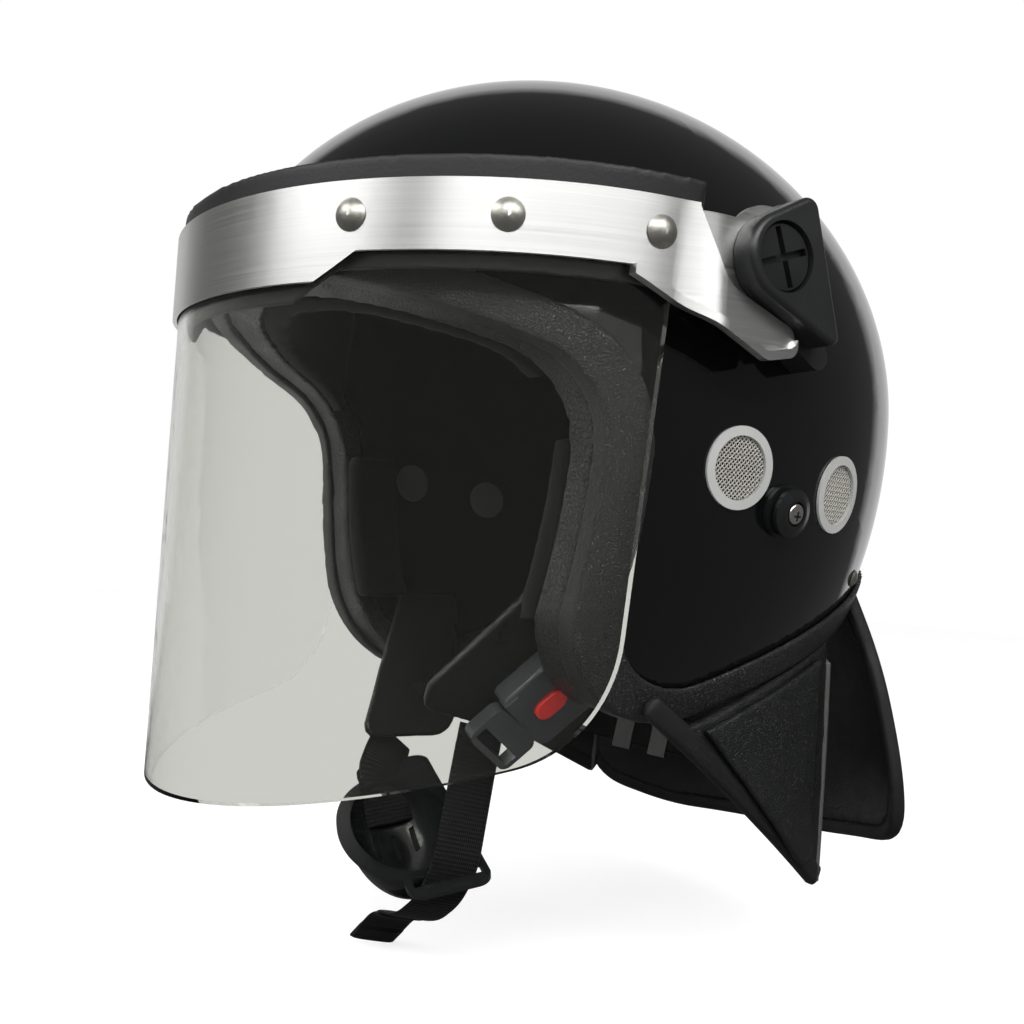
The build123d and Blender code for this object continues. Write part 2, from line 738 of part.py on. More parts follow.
def hanging_sheet(top_oval, bottom_oval, outer, inner):
    """A flared wall between two growths of its top and bottom ovals, hanging below the trim."""
    walls = []
    for grow in (outer, inner):
        walls.append(loft([bottom_oval(grow), top_oval(grow)], ruled=True))
    return walls[0] - walls[1] - behind_edge(soft_gap, soft_gap, soft_gap)


def side_sheet(outer, inner):
    """The wall that the neck guard's side panels lie in."""
    return hanging_sheet(
        lambda grow: Pos(0, 0, guard_top_z) * Ellipse(guard_half_width + grow, guard_length_top + grow),
        lambda grow: Pos(0, 0, guard_bottom_z) * Ellipse(guard_half_width + grow,
                                                         guard_length_bottom + grow),
        outer, inner)


def apron_sheet(outer, inner):
    """The wall that the rear apron lies in: it bows outwards and grows flatter towards its lower edge."""
    walls = []
    for grow in (outer, inner):
        ovals = []
        for level, half_width, length, shift in apron_oval_shares:
            oval = Ellipse(half_width * shell_half_length + grow, length * shell_half_length + grow)
            ovals.append(Pos(0, shift * shell_half_length, level * shell_half_length) * oval)
        walls.append(loft(ovals[::-1]))
    return walls[0] - walls[1] - behind_edge(soft_gap, soft_gap, soft_gap)


def side_panel_outline(rear_y, tip_y, tip_z, inset):
    """The triangular side panel seen from the side, drawn in by inset."""
    slope = atan2(guard_side_front_z - tip_z, tip_y - guard_side_front_y)
    front = (guard_side_front_y + inset / sin(slope), guard_side_front_z)
    tip = (tip_y - inset, tip_z + inset / cos(slope) - inset * tan(slope))
    rear = (rear_y - inset, guard_top_z)
    face = make_face(Polyline(front, tip, rear, (front[0], guard_top_z), close=True).edges())
    return rounded_at(face, [tip], guard_corner_radius)


def make_side_panel(rear_y, tip_y, tip_z):
    """A triangular side panel of the neck guard with its raised pad, on the left side."""
    half = guard_thickness / 2
    side = side_sheet(half, -half) & side_prism(side_panel_outline(rear_y, tip_y, tip_z, 0), 0)
    pad_start = half + fit_gap
    pad = side_sheet(pad_start + guard_panel_height, pad_start)
    pad &= side_prism(side_panel_outline(rear_y, tip_y, tip_z, guard_panel_inset), 0)
    return side, pad - behind_edge(guard_panel_height, guard_panel_height, guard_panel_height)


def make_apron():
    """The rear apron of the neck guard, cut to its rear view: bowed sides and rounded lower corners."""
    half = guard_thickness / 2
    shares = [*apron_near_shares, *apron_bottom_shares, *apron_far_shares]
    points = [(across * shell_half_length, up * shell_half_length) for across, up in shares]
    outline = make_face(Polyline(*points, close=True).edges())
    outline = rounded_at(outline, [points[1], points[2], points[-2], points[-3]],
                         apron_bow_radius_share * shell_half_length)
    outline = rounded_at(outline, [points[3], points[-4]],
                         guard_rear_corner_radius_share * shell_half_length)
    cut = extrude(Plane.XZ * outline, amount=-far_out)
    return apron_sheet(half, -half) & cut


def nape_strap_frame():
    """The sloping frame of the nape strap: it drops to the rear."""
    return Location((0, nape_strap_start_y, nape_strap_z), (-nape_strap_drop, 0, 0))


def nape_strap_ring(outer, inner, width):
    """A half oval band across the nape."""
    length = nape_strap_length - nape_strap_start_y
    ring = (Ellipse(nape_strap_half_width + outer, length + outer)
            - Ellipse(nape_strap_half_width + inner, length + inner))
    ring &= Rectangle(far_out, far_out, align=(Align.CENTER, Align.MIN))
    return nape_strap_frame() * extrude(ring, amount=width / 2, both=True)


def make_nape_strap():
    """The nape strap and its two sliders on the left side, with their mirror images."""
    strap = nape_strap_ring(0, -nape_strap_thickness, nape_strap_width)
    sliders = []
    sleeve = nape_strap_ring(fit_gap, -nape_strap_thickness - fit_gap, nape_strap_width + 2 * fit_gap)
    length = nape_strap_length - nape_strap_start_y
    for angle in slider_angles:
        point = (nape_strap_half_width * cos(radians(angle)), length * sin(radians(angle)))
        turn = degrees(atan2(point[1] / length ** 2, point[0] / nape_strap_half_width ** 2))
        body = Box(slider_thickness, slider_length, nape_strap_width + 2 * slider_border)
        slider = nape_strap_frame() * Pos(*point) * Rot(0, 0, turn) * body - sleeve
        sliders += [slider, mirrored(slider)]
    return strap, group(sliders)


def strap_run(points_share, place, bend_radius):
    """A flat strap along points of the X-Z plane of its own frame."""
    points = [(x * strap_size, 0, z * strap_size) for x, z in points_share]
    path = FilletPolyline(*points, radius=bend_radius)
    start = Plane(origin=path @ 0, x_dir=(0, 1, 0), z_dir=path % 0)
    section = start * Rectangle(webbing_width, webbing_thickness)
    return place * sweep(section, path=path.wire())


def cheek_plane(x, side):
    """The sloping plane of a chin-strap anchor: second axis up and outwards, normal away from the face."""
    lean = radians(strap_tilt)
    return Plane(origin=(x, strap_top_y, strap_top_z), x_dir=(0, side, 0),
                 z_dir=(side * cos(lean), 0, -sin(lean)))


def hanging_plate(x, side, outline_share, radii, clear=0):
    """A leather plate on the sloping plane, each corner rounded by its own radius, grown by clear."""
    points = [(side * along * strap_size, up * strap_size) for along, up in outline_share]
    face = make_face(Polyline(*points, close=True).edges())
    for point, radius in zip(points, radii):
        face = rounded_at(face, [point], radius)
    if clear:
        face = offset(face, clear)
    return cheek_plane(x, side) * extrude(face, amount=tab_thickness / 2 + clear, both=True)


def make_leather():
    """The near leather tab and the far leather flap, and the notches that a cheek pad has for them."""
    tab_radii = [tab_corner_radius] * len(tab_outline_share)
    flap_radii = [tab_corner_radius, tab_corner_radius, flap_rear_radius, tab_corner_radius]
    tab = [near_strap_x, 1, tab_outline_share, tab_radii]
    flap = [far_strap_x, -1, flap_outline_share, flap_radii]
    notches = [hanging_plate(*tab, soft_gap), mirrored(hanging_plate(*flap, soft_gap))]
    return hanging_plate(*tab), hanging_plate(*flap), notches


def buckle_frame():
    """The buckle's own frame: its face is +Z, and -Y runs to the tongue."""
    place = Pos(buckle_along, buckle_down, buckle_lift) * Rot(0, 0, buckle_turn)
    return cheek_plane(near_strap_x, 1) * place


def make_buckle():
    """The buckle: its moulded body with two square pins, the release button and the tongue."""
    place = buckle_frame()
    body = Box(buckle_length, buckle_width, buckle_thickness)
    body = fillet(body.edges().filter_by(Axis.Z), buckle_corner_radius)
    body = fillet(body.faces().sort_by(Axis.Z)[-1].edges(), buckle_edge_round)
    face = buckle_thickness / 2
    well_depth = button_travel + button_well
    standing = (Align.CENTER, Align.CENTER, Align.MIN)
    well = SlotOverall(button_length + 2 * button_gap, button_width + 2 * button_gap, rotation=90)
    body -= Pos(0, 0, face - well_depth) * extrude(well, amount=overrun)
    for y in (-buckle_pin_spread / 2, buckle_pin_spread / 2):
        pin_x = (buckle_pin_size - buckle_length) / 2 + buckle_edge_round
        pin = Box(buckle_pin_size, buckle_pin_size, face + buckle_pin_proud, align=standing)
        body += Pos(pin_x, y, 0) * pin
    button = extrude(SlotOverall(button_length, button_width, rotation=90),
                     amount=button_travel + button_proud)
    button = fillet(button.faces().sort_by(Axis.Z)[-1].edges(), button_round)
    button = Pos(0, 0, face - button_travel) * button
    tongue = Box(tongue_width, tongue_length, tongue_thickness)
    tongue = fillet(tongue.edges().filter_by(Axis.Z), buckle_corner_radius)
    slot = Box(webbing_width + tongue_slot_clear, tongue_slot_width, overrun)
    slot = Pos(0, -tongue_length / 2 + tongue_slot_inset, 0) * slot
    tongue = Pos(0, -(buckle_width + tongue_length) / 2 - soft_gap, 0) * (tongue - slot)
    return place * body, place * button, place * tongue


def cup_frame():
    """The chin cup's own frame: +Z out of the bowl, X along the strap."""
    turned = Rot(0, 0, cup_turn) * Rot(cup_lean, 0, 0) * Rot(0, cup_tilt, 0)
    return Pos(0, cup_centre_y, cup_centre_z) * turned


def make_cup():
    """The chin cup: a thin oval bowl with a flange, an ear for each strap, a slot in one, and vents."""
    lower_half = Sphere(1, arc_size1=-90, arc_size2=0, align=(Align.CENTER, Align.CENTER, Align.MAX))
    bowl = scale(lower_half, by=(cup_half_length, cup_half_width, cup_depth))
    bowl -= scale(lower_half, by=(cup_half_length - cup_wall, cup_half_width - cup_wall,
                                  cup_depth - cup_wall))
    rim = Ellipse(cup_half_length + cup_flange, cup_half_width + cup_flange)
    ears = Pos(0, cup_ear_shift) * RectangleRounded(2 * cup_ear_reach, webbing_width + 2 * cup_ear_border,
                                                    cup_ear_border)
    plate = rim + ears - Ellipse(cup_half_length - cup_wall, cup_half_width - cup_wall)
    plate -= Pos(cup_slot_centre, cup_ear_shift) * Rectangle(cup_slot_width, webbing_width + cup_slot_clear)
    cup = bowl + extrude(plate, amount=cup_flange_thickness)
    for y in (-cup_vent_spread, 0, cup_vent_spread):
        cup -= Pos(cup_vent_x, y, -cup_depth) * Box(cup_vent_length, cup_vent_width, cup_depth)
    return cup_frame() * cup


os.makedirs("parts", exist_ok=True)

save("shell", make_shell())
save("rim_trim", make_trim())
save("liner", make_liner())
save("edge_roll", make_edge_roll())
brow_pad, cheek_pad, nape_pad, crown_pad = make_pads()
leather_tab, leather_flap, pad_notches = make_leather()
save("brow_pad", brow_pad)
save_pair("cheek_pad", cheek_pad - pad_notches[0] - pad_notches[1])
save("nape_pad", nape_pad)
save("crown_pad", crown_pad)
save("velcro_dots", make_velcro_dots())
for port_name, port in shell_ports().items():
    vent_ring, vent_mesh = make_vent(port)
    save_pair(f"vent_ring_{port_name}", vent_ring)
    save_pair(f"vent_mesh_{port_name}", vent_mesh)
mask_stud, stud_screw = make_stud()
save_pair("mask_stud", mask_stud)
save_pair("stud_screw", stud_screw)
save("rim_rivets", make_rim_rivets())
save_pair("pivot_base", make_pivot_base())
save_pair("pivot_sleeve", make_pivot_sleeve())
save_pair("pivot_cover", make_pivot_cover())
save_pair("pivot_knob", make_knob())
save_pair("hinge_plate", make_hinge_plate())
save("visor_lens", make_lens())
save("visor_frame", make_frame())
save("visor_gasket", make_gasket())
save("frame_rivets", make_frame_rivets())
left_side, left_pad = make_side_panel(guard_side_rear_y, guard_side_tip_y, guard_side_tip_z)
save("neck_guard_side_left", left_side)
save("neck_guard_pad_left", left_pad)
right_side, right_pad = make_side_panel(guard_far_rear_y, guard_far_tip_y, guard_far_tip_z)
save("neck_guard_side_right", mirrored(right_side))
save("neck_guard_pad_right", mirrored(right_pad))
save("neck_guard_rear", make_apron())
nape_strap, strap_sliders = make_nape_strap()
save("nape_strap", nape_strap)
save("strap_sliders", strap_sliders)
save("leather_tab", leather_tab)
save("leather_flap", leather_flap)
buckle_body, release_button, buckle_tongue = make_buckle()
save("buckle_body", buckle_body)
save("release_button", release_button)
save("buckle_tongue", buckle_tongue)
near_place = Location((0, near_strap_y, near_strap_z), (near_strap_turn, 0, 0))
save("webbing_near", strap_run(near_strap_share, near_place, strap_bend_radius))
far_place = Location((0, far_strap_y, far_strap_z), (far_strap_turn, 0, 0))
under_cup_face = Pos(0, 0, cup_flange_thickness + seat_gap) * Box(
    far_out, far_out, overrun, align=(Align.CENTER, Align.CENTER, Align.MAX))
save("webbing_far", strap_run(far_strap_share, far_place, strap_bend_radius) - cup_frame() * under_cup_face)
tail_place = Location((0, tail_y, tail_z), (near_strap_turn, 0, 0))
save("webbing_tail", strap_run(tail_share, tail_place, strap_bend_radius / 2))
save("chin_cup", make_cup())
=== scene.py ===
from math import pi, radians

import bmesh
import bpy
import numpy as np
from mathutils import Matrix, Vector


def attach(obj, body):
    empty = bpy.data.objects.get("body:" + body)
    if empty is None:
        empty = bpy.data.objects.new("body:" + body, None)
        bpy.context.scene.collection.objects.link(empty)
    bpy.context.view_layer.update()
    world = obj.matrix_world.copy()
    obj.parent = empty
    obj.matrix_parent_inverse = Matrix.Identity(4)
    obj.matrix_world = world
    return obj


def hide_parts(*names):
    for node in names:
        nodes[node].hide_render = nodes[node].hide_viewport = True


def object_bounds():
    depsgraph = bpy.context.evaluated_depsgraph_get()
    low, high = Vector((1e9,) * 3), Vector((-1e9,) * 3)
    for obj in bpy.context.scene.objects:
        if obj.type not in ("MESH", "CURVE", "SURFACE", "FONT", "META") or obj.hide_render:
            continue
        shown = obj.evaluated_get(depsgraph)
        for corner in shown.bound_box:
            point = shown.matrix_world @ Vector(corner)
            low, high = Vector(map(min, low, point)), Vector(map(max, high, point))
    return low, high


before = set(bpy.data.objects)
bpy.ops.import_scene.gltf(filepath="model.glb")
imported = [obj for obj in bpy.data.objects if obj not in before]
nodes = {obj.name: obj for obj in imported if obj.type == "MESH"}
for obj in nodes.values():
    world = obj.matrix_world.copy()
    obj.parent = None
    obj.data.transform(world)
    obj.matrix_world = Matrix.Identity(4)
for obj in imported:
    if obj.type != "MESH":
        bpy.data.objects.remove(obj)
cad_low, cad_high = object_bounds()

# Sizes of the object, in metres, as the solids have them
shell_half = np.array([0.1245, 0.153])
shell_drop = 0.174
webbing_width = 0.020
webbing_thickness = 0.0018
rib_pitch = 0.0016
hem_length = 0.009
cup_centre = (0.0, -0.061, -0.174)
cup_turn = -14.0
cup_lean = 12.0
cup_tilt = 20.0
cup_half = (0.0340, 0.0220, 0.0240)
cup_wall_middle = 0.0011
guard_half_width = 0.099
guard_length_top = 0.140
guard_length_flare = 0.028
guard_top_z = -0.060
guard_height = 0.130
guard_path_pitch = 0.002
apron_path_pitch = 0.0025
apron_corner_radius = 0.016
port_places = {"front": (-0.0038, -0.0292), "rear": (0.0525, -0.0342)}

# The photograph's viewpoint
camera_place = (0.44135, -0.29267, -0.06326)
camera_right = Vector((0.52903446, 0.84667703, 0.05710116))
camera_up = Vector((-0.00113107, -0.06658505, 0.99778011))
camera_ahead = Vector((-0.84859959, 0.52792465, 0.03426814))
camera_lens = 43.53
sensor_width = 36.0


# Materials
def material_of(name, colour, roughness, metallic=0.0):
    """A material with its Principled shader set to plain values, its node tree and that shader."""
    material = bpy.data.materials.new(name)
    material.use_nodes = True
    tree = material.node_tree
    shader = tree.nodes["Principled BSDF"]
    shader.inputs["Base Color"].default_value = (*colour, 1.0)
    shader.inputs["Roughness"].default_value = roughness
    shader.inputs["Metallic"].default_value = metallic
    return material, tree, shader


def add_node(tree, kind, **values):
    """A new node of this kind, with its inputs and properties set by name."""
    node = tree.nodes.new(kind)
    for key, value in values.items():
        if key in node.inputs:
            node.inputs[key].default_value = value
        else:
            setattr(node, key, value)
    return node


def place_of(tree, scale=(1.0, 1.0, 1.0), turn=(0.0, 0.0, 0.0), source="Object"):
    """The point on the piece, turned and then scaled, as a vector socket."""
    texture = tree.nodes.new("ShaderNodeTexCoord")
    mapping = tree.nodes.new("ShaderNodeMapping")
    mapping.vector_type = "TEXTURE" if turn != (0.0, 0.0, 0.0) else "POINT"
    mapping.inputs["Rotation"].default_value = turn
    if mapping.vector_type == "TEXTURE":
        mapping.inputs["Scale"].default_value = [1.0 / s for s in scale]
    else:
        mapping.inputs["Scale"].default_value = scale
    tree.links.new(texture.outputs[source], mapping.inputs["Vector"])
    return mapping.outputs["Vector"]


def cloud(tree, place, scale, detail=3.0, roughness=0.5):
    """A soft noise at this scale, from 0 to 1."""
    noise = add_node(tree, "ShaderNodeTexNoise", Scale=scale, Detail=detail, Roughness=roughness)
    tree.links.new(place, noise.inputs["Vector"])
    return noise.outputs["Fac"]


def creases(tree, place, scale):
    """Cells with narrow creases between them, 0 in a crease and 1 on a cell."""
    cells = add_node(tree, "ShaderNodeTexVoronoi", feature="DISTANCE_TO_EDGE", Scale=scale)
    tree.links.new(place, cells.inputs["Vector"])
    return between(tree, cells.outputs["Distance"], 0.0, 0.12, 0.0, 1.0)


def between(tree, value, low, high, to_low, to_high):
    """The value carried from one range to another, and held at its ends."""
    range_node = add_node(tree, "ShaderNodeMapRange")
    for key, number in (("From Min", low), ("From Max", high), ("To Min", to_low), ("To Max", to_high)):
        range_node.inputs[key].default_value = number
    tree.links.new(value, range_node.inputs["Value"])
    return range_node.outputs["Result"]


def blend_of(tree, value, dark, light):
    """A colour between dark and light, by value."""
    mix = add_node(tree, "ShaderNodeMix", data_type="RGBA")
    mix.inputs["A"].default_value = (*dark, 1.0)
    mix.inputs["B"].default_value = (*light, 1.0)
    for key, socket in enumerate(mix.inputs):
        if socket.type == "RGBA" and socket.name in ("A", "B"):
            socket.default_value = (*(dark if socket.name == "A" else light), 1.0)
    tree.links.new(value, mix.inputs["Factor"])
    return next(out for out in mix.outputs if out.type == "RGBA")


def sum_of(tree, first, second, share):
    """first plus share times second."""
    node = add_node(tree, "ShaderNodeMath", operation="MULTIPLY_ADD")
    tree.links.new(second, node.inputs[0])
    node.inputs[1].default_value = share
    tree.links.new(first, node.inputs[2])
    return node.outputs[0]


def relief(tree, shader, height, depth):
    """Bump on the shader from a height of 0 to 1 and its depth in metres."""
    bump = add_node(tree, "ShaderNodeBump", Distance=depth)
    tree.links.new(height, bump.inputs["Height"])
    tree.links.new(bump.outputs["Normal"], shader.inputs["Normal"])


def moulded(name, colour, roughness, grain=900.0, depth=0.00006, wear=0.06):
    """Moulded plastic or rubber, or a pale metal that shows lit rather than mirroring: a fine grain, and
    roughness and tone that drift a little."""
    material, tree, shader = material_of(name, colour, roughness)
    place = place_of(tree)
    drift = cloud(tree, place, 38.0, 4.0)
    fine = cloud(tree, place, grain, 2.0)
    tone = blend_of(tree, drift, [c * 0.8 for c in colour], [min(1.0, c * 1.25 + 0.002) for c in colour])
    tree.links.new(tone, shader.inputs["Base Color"])
    rough = between(tree, drift, 0.3, 0.7, roughness - wear, roughness + wear)
    tree.links.new(rough, shader.inputs["Roughness"])
    relief(tree, shader, fine, depth)
    return material


def leather(name, colour, roughness, cell=420.0, depth=0.00022, sheen=0.0):
    """Leatherette: pebbled cells with creases darkened by painted shade, a finer grain and soft drifts of
    shine.
    """
    material, tree, shader = material_of(name, colour, roughness)
    place = place_of(tree)
    bent = cloud(tree, place, 60.0, 3.0)
    cells = creases(tree, place, cell)
    fine = cloud(tree, place, cell * 3.0, 2.0)
    height = sum_of(tree, sum_of(tree, cells, fine, 0.35), bent, 0.8)
    # Painted shade: the colour falls to 0.45 of itself in the creases between the cells
    tone = blend_of(tree, cells, [c * 0.45 for c in colour], colour)
    tree.links.new(tone, shader.inputs["Base Color"])
    rough = between(tree, bent, 0.3, 0.7, roughness - 0.08, roughness + 0.10)
    tree.links.new(rough, shader.inputs["Roughness"])
    shader.inputs["Sheen Weight"].default_value = sheen
    relief(tree, shader, height, depth)
    return material


def brushed(name, colour, roughness, scale, turn=(0.0, 0.0, 0.0), depth=0.00002, stretch=0.0):
    """Brushed metal: long streaks along one direction, with drifts of tone and shine."""
    material, tree, shader = material_of(name, colour, roughness, 1.0)
    place = place_of(tree, scale, turn)
    streaks = cloud(tree, place, 1.0, 4.0, 0.65)
    drift = cloud(tree, place_of(tree), 22.0, 3.0)
    tone = blend_of(tree, streaks, [c * 0.82 for c in colour], [min(1.0, c * 1.08) for c in colour])
    tree.links.new(tone, shader.inputs["Base Color"])
    rough = sum_of(tree, between(tree, streaks, 0.3, 0.7, roughness - 0.07, roughness + 0.07), drift, 0.06)
    tree.links.new(rough, shader.inputs["Roughness"])
    shader.inputs["Anisotropic"].default_value = stretch
    shader.inputs["Anisotropic Rotation"].default_value = 0.25
    relief(tree, shader, streaks, depth)
    return material


def woven(name, colour, across, along, roughness=0.75):
    """Woven webbing: ribs across the strap from its own map, with painted shade in the valleys between
    them, and fine yarns along it.
    """
    material, tree, shader = material_of(name, colour, roughness)
    place = place_of(tree, (across, along, 1.0), source="UV")
    ribs = add_node(tree, "ShaderNodeTexWave", wave_type="BANDS", bands_direction="Y", Scale=0.314,
                    Distortion=0.6)
    yarns = add_node(tree, "ShaderNodeTexWave", wave_type="BANDS", bands_direction="X", Scale=0.314,
                     Distortion=1.0)
    for wave in (ribs, yarns):
        tree.links.new(place, wave.inputs["Vector"])
    height = sum_of(tree, ribs.outputs["Fac"], yarns.outputs["Fac"], 0.5)
    # Painted shade: the colour falls to 0.35 of itself in the valleys between the ribs
    tone = blend_of(tree, ribs.outputs["Fac"], [c * 0.35 for c in colour], colour)
    tree.links.new(tone, shader.inputs["Base Color"])
    shader.inputs["Sheen Weight"].default_value = 0.05
    shader.inputs["Specular IOR Level"].default_value = 0.3
    shader.inputs["Sheen Roughness"].default_value = 0.4
    relief(tree, shader, height, 0.00025)
    return material


def gloss_shell():
    """Black gel coat: a deep gloss with a faint ripple and a haze of fine scratches."""
    material, tree, shader = material_of("shell_gloss_black", (0.0025, 0.0027, 0.003), 0.08)
    place = place_of(tree)
    haze = cloud(tree, place, 14.0, 5.0)
    ripple = cloud(tree, place, 55.0, 2.0)
    tree.links.new(between(tree, haze, 0.35, 0.7, 0.05, 0.11), shader.inputs["Roughness"])
    tone = blend_of(tree, haze, (0.002, 0.002, 0.0023), (0.0035, 0.0038, 0.0042))
    tree.links.new(tone, shader.inputs["Base Color"])
    shader.inputs["Coat Weight"].default_value = 0.35
    shader.inputs["Coat Roughness"].default_value = 0.02
    relief(tree, shader, ripple, 0.00003)
    return material


lens_tint = (0.600, 0.607, 0.565)
lens_shadow_tint = (0.735, 0.745, 0.735)
# Lower than polycarbonate's 1.58, so that reflections are as weak as in the photo
lens_refraction = 1.28


def clear_sheet():
    """Clear polycarbonate with a faint grey tint in its first wall, that lets the lamps' light through."""
    material, tree, shader = material_of("clear_polycarbonate", lens_tint, 0.0)
    shader.inputs["Transmission Weight"].default_value = 1.0
    shader.inputs["IOR"].default_value = lens_refraction
    place = place_of(tree)
    smear = cloud(tree, place, 9.0, 5.0)
    tree.links.new(between(tree, smear, 0.45, 0.8, 0.0, 0.02), shader.inputs["Roughness"])
    open_to_light = add_node(tree, "ShaderNodeBsdfTransparent", Color=(*lens_shadow_tint, 1.0))
    path = tree.nodes.new("ShaderNodeLightPath")
    second_wall = between(tree, path.outputs["Transmission Depth"], 1.4, 1.6, 0.0, 1.0)
    tree.links.new(blend_of(tree, second_wall, lens_tint, (1.0, 1.0, 1.0)), shader.inputs["Base Color"])
    mix = tree.nodes.new("ShaderNodeMixShader")
    output = tree.nodes["Material Output"]
    tree.links.new(path.outputs["Is Shadow Ray"], mix.inputs["Fac"])
    tree.links.new(shader.outputs["BSDF"], mix.inputs[1])
    tree.links.new(open_to_light.outputs["BSDF"], mix.inputs[2])
    tree.links.new(mix.outputs["Shader"], output.inputs["Surface"])
    return material


def felt(name, colour, roughness=0.95):
    """Felt, foam cloth or hook tape: a nap of fine fibres with a soft sheen."""
    material, tree, shader = material_of(name, colour, roughness)
    place = place_of(tree)
    nap = cloud(tree, place, 1400.0, 4.0, 0.7)
    drift = cloud(tree, place, 70.0, 3.0)
    tone = blend_of(tree, nap, [c * 0.5 for c in colour], [min(1.0, c * 1.5) for c in colour])
    tree.links.new(tone, shader.inputs["Base Color"])
    shader.inputs["Sheen Weight"].default_value = 0.06
    shader.inputs["Sheen Roughness"].default_value = 0.5
    shader.inputs["Specular IOR Level"].default_value = 0.2
    relief(tree, shader, sum_of(tree, nap, drift, 0.6), 0.00012)
    return material


materials = {
    "shell": gloss_shell(),
    "lens": clear_sheet(),
    "frame": brushed("frame_aluminium", (0.90, 0.90, 0.885), 0.40, (6.0, 6.0, 1500.0), stretch=0.75),
    "rivet": brushed("rivet_steel", (0.50, 0.49, 0.44), 0.40, (500.0, 500.0, 500.0), depth=0.00006),
    "gasket": moulded("gasket_rubber", (0.007, 0.0072, 0.0075), 0.55, 900.0, 0.00008),
    "hinge": brushed("hinge_steel", (0.62, 0.62, 0.61), 0.32, (30.0, 30.0, 1200.0)),
    "sleeve": brushed("sleeve_steel", (0.60, 0.60, 0.60), 0.25, (900.0, 40.0, 40.0)),
    "pivot": moulded("pivot_plastic", (0.011, 0.0115, 0.012), 0.40, 1500.0, 0.00005),
    "knob": moulded("knob_plastic", (0.009, 0.0095, 0.010), 0.36, 1500.0, 0.00004),
    "vent_ring": moulded("vent_ring_metal", (0.40, 0.40, 0.39), 0.32, 700.0, 0.00003),
    "vent_mesh": moulded("vent_mesh_steel", (0.38, 0.37, 0.335), 0.35, 1500.0, 0.00003),
    "stud": moulded("stud_plastic", (0.008, 0.0085, 0.009), 0.26, 1500.0, 0.00003),
    "screw": brushed("screw_steel", (0.78, 0.76, 0.72), 0.28, (900.0, 900.0, 900.0)),
    "trim": leather("leatherette_black", (0.019, 0.0195, 0.0190), 0.42, 800.0, 0.00024),
    "roll": leather("leatherette_roll", (0.017, 0.0175, 0.0172), 0.40, 520.0, 0.00042),
    "guard": leather("guard_leatherette", (0.0075, 0.008, 0.0082), 0.36, 1100.0, 0.00010),
    "binding": leather("guard_binding", (0.0055, 0.0057, 0.0057), 0.52, 1500.0, 0.00014),
    "piping": leather("guard_piping", (0.075, 0.076, 0.072), 0.40, 1500.0, 0.00005),
    "strap_leather": leather("leather_strap", (0.0028, 0.0028, 0.0028), 0.34, 1400.0, 0.00006),
    "foam": felt("foam_liner", (0.0022, 0.0022, 0.0025)),
    "pad": felt("foam_pad", (0.0028, 0.0028, 0.0031)),
    "touch": felt("touch_fastener", (0.085, 0.088, 0.085)),
    "webbing": woven("webbing_black", (0.0045, 0.0046, 0.005), 1.0 / 0.0009, 1.0 / rib_pitch),
    "slider": moulded("slider_grey_plastic", (0.040, 0.042, 0.042), 0.22, 1200.0, 0.00004),
    "buckle": moulded("buckle_plastic", (0.050, 0.053, 0.059), 0.20, 1500.0, 0.00003),
    "button": moulded("button_red", (0.80, 0.030, 0.030), 0.34, 1300.0, 0.00004),
    "cup": moulded("cup_gloss_black", (0.009, 0.0095, 0.010), 0.20, 500.0, 0.00005),
}
node_finish = {
    "shell": "shell", "visor_lens": "lens", "visor_frame": "frame", "frame_rivets": "rivet",
    "rim_rivets": "rivet", "visor_gasket": "gasket", "strap_sliders": "slider",
    "buckle_body": "buckle", "buckle_tongue": "buckle", "release_button": "button", "chin_cup": "cup",
    "rim_trim": "trim", "edge_roll": "roll", "liner": "foam", "brow_pad": "pad", "nape_pad": "pad",
    "crown_pad": "pad", "velcro_dots": "touch", "neck_guard_rear": "guard", "nape_strap": "webbing",
    "leather_tab": "strap_leather", "leather_flap": "strap_leather", "webbing_near": "webbing",
    "webbing_far": "webbing", "webbing_tail": "webbing",
}
for side in ("left", "right"):
    node_finish.update({
        f"hinge_plate_{side}": "hinge", f"pivot_base_{side}": "pivot", f"pivot_cover_{side}": "pivot",
        f"pivot_knob_{side}": "knob", f"pivot_sleeve_{side}": "sleeve", f"mask_stud_{side}": "stud",
        f"stud_screw_{side}": "screw", f"cheek_pad_{side}": "pad", f"neck_guard_side_{side}": "guard",
        f"neck_guard_pad_{side}": "guard",
    })
    for port in ("front", "rear"):
        node_finish[f"vent_ring_{port}_{side}"] = "vent_ring"
        node_finish[f"vent_mesh_{port}_{side}"] = "vent_mesh"
for node, finish in node_finish.items():
    nodes[node].data.materials.clear()
    nodes[node].data.materials.append(materials[finish])


# Meshes
def mesh_piece(name, points, faces, finish, body="helmet", smooth=True):
    """A piece from arrays of points and faces of four corners, riding on a body."""
    mesh = bpy.data.meshes.new(name)
    mesh.from_pydata(points.reshape(-1, 3).tolist(), [], faces.tolist())
    mesh.materials.append(materials[finish])
    if smooth:
        mesh.shade_smooth()
    piece = bpy.data.objects.new(name, mesh)
    bpy.context.scene.collection.objects.link(piece)
    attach(piece, body)
    return piece


def grid_faces(rows, columns, wrap_columns=False):
    """The four-cornered faces of a grid of rows by columns of points, its columns closed where asked."""
    row = np.arange(rows - 1)[:, None]
    column = np.arange(columns if wrap_columns else columns - 1)[None, :]
    next_row = row + 1
    next_column = (column + 1) % columns
    corners = [row * columns + column, row * columns + next_column,
               next_row * columns + next_column, next_row * columns + column]
    return np.stack(np.broadcast_arrays(*corners), -1).reshape(-1, 4)


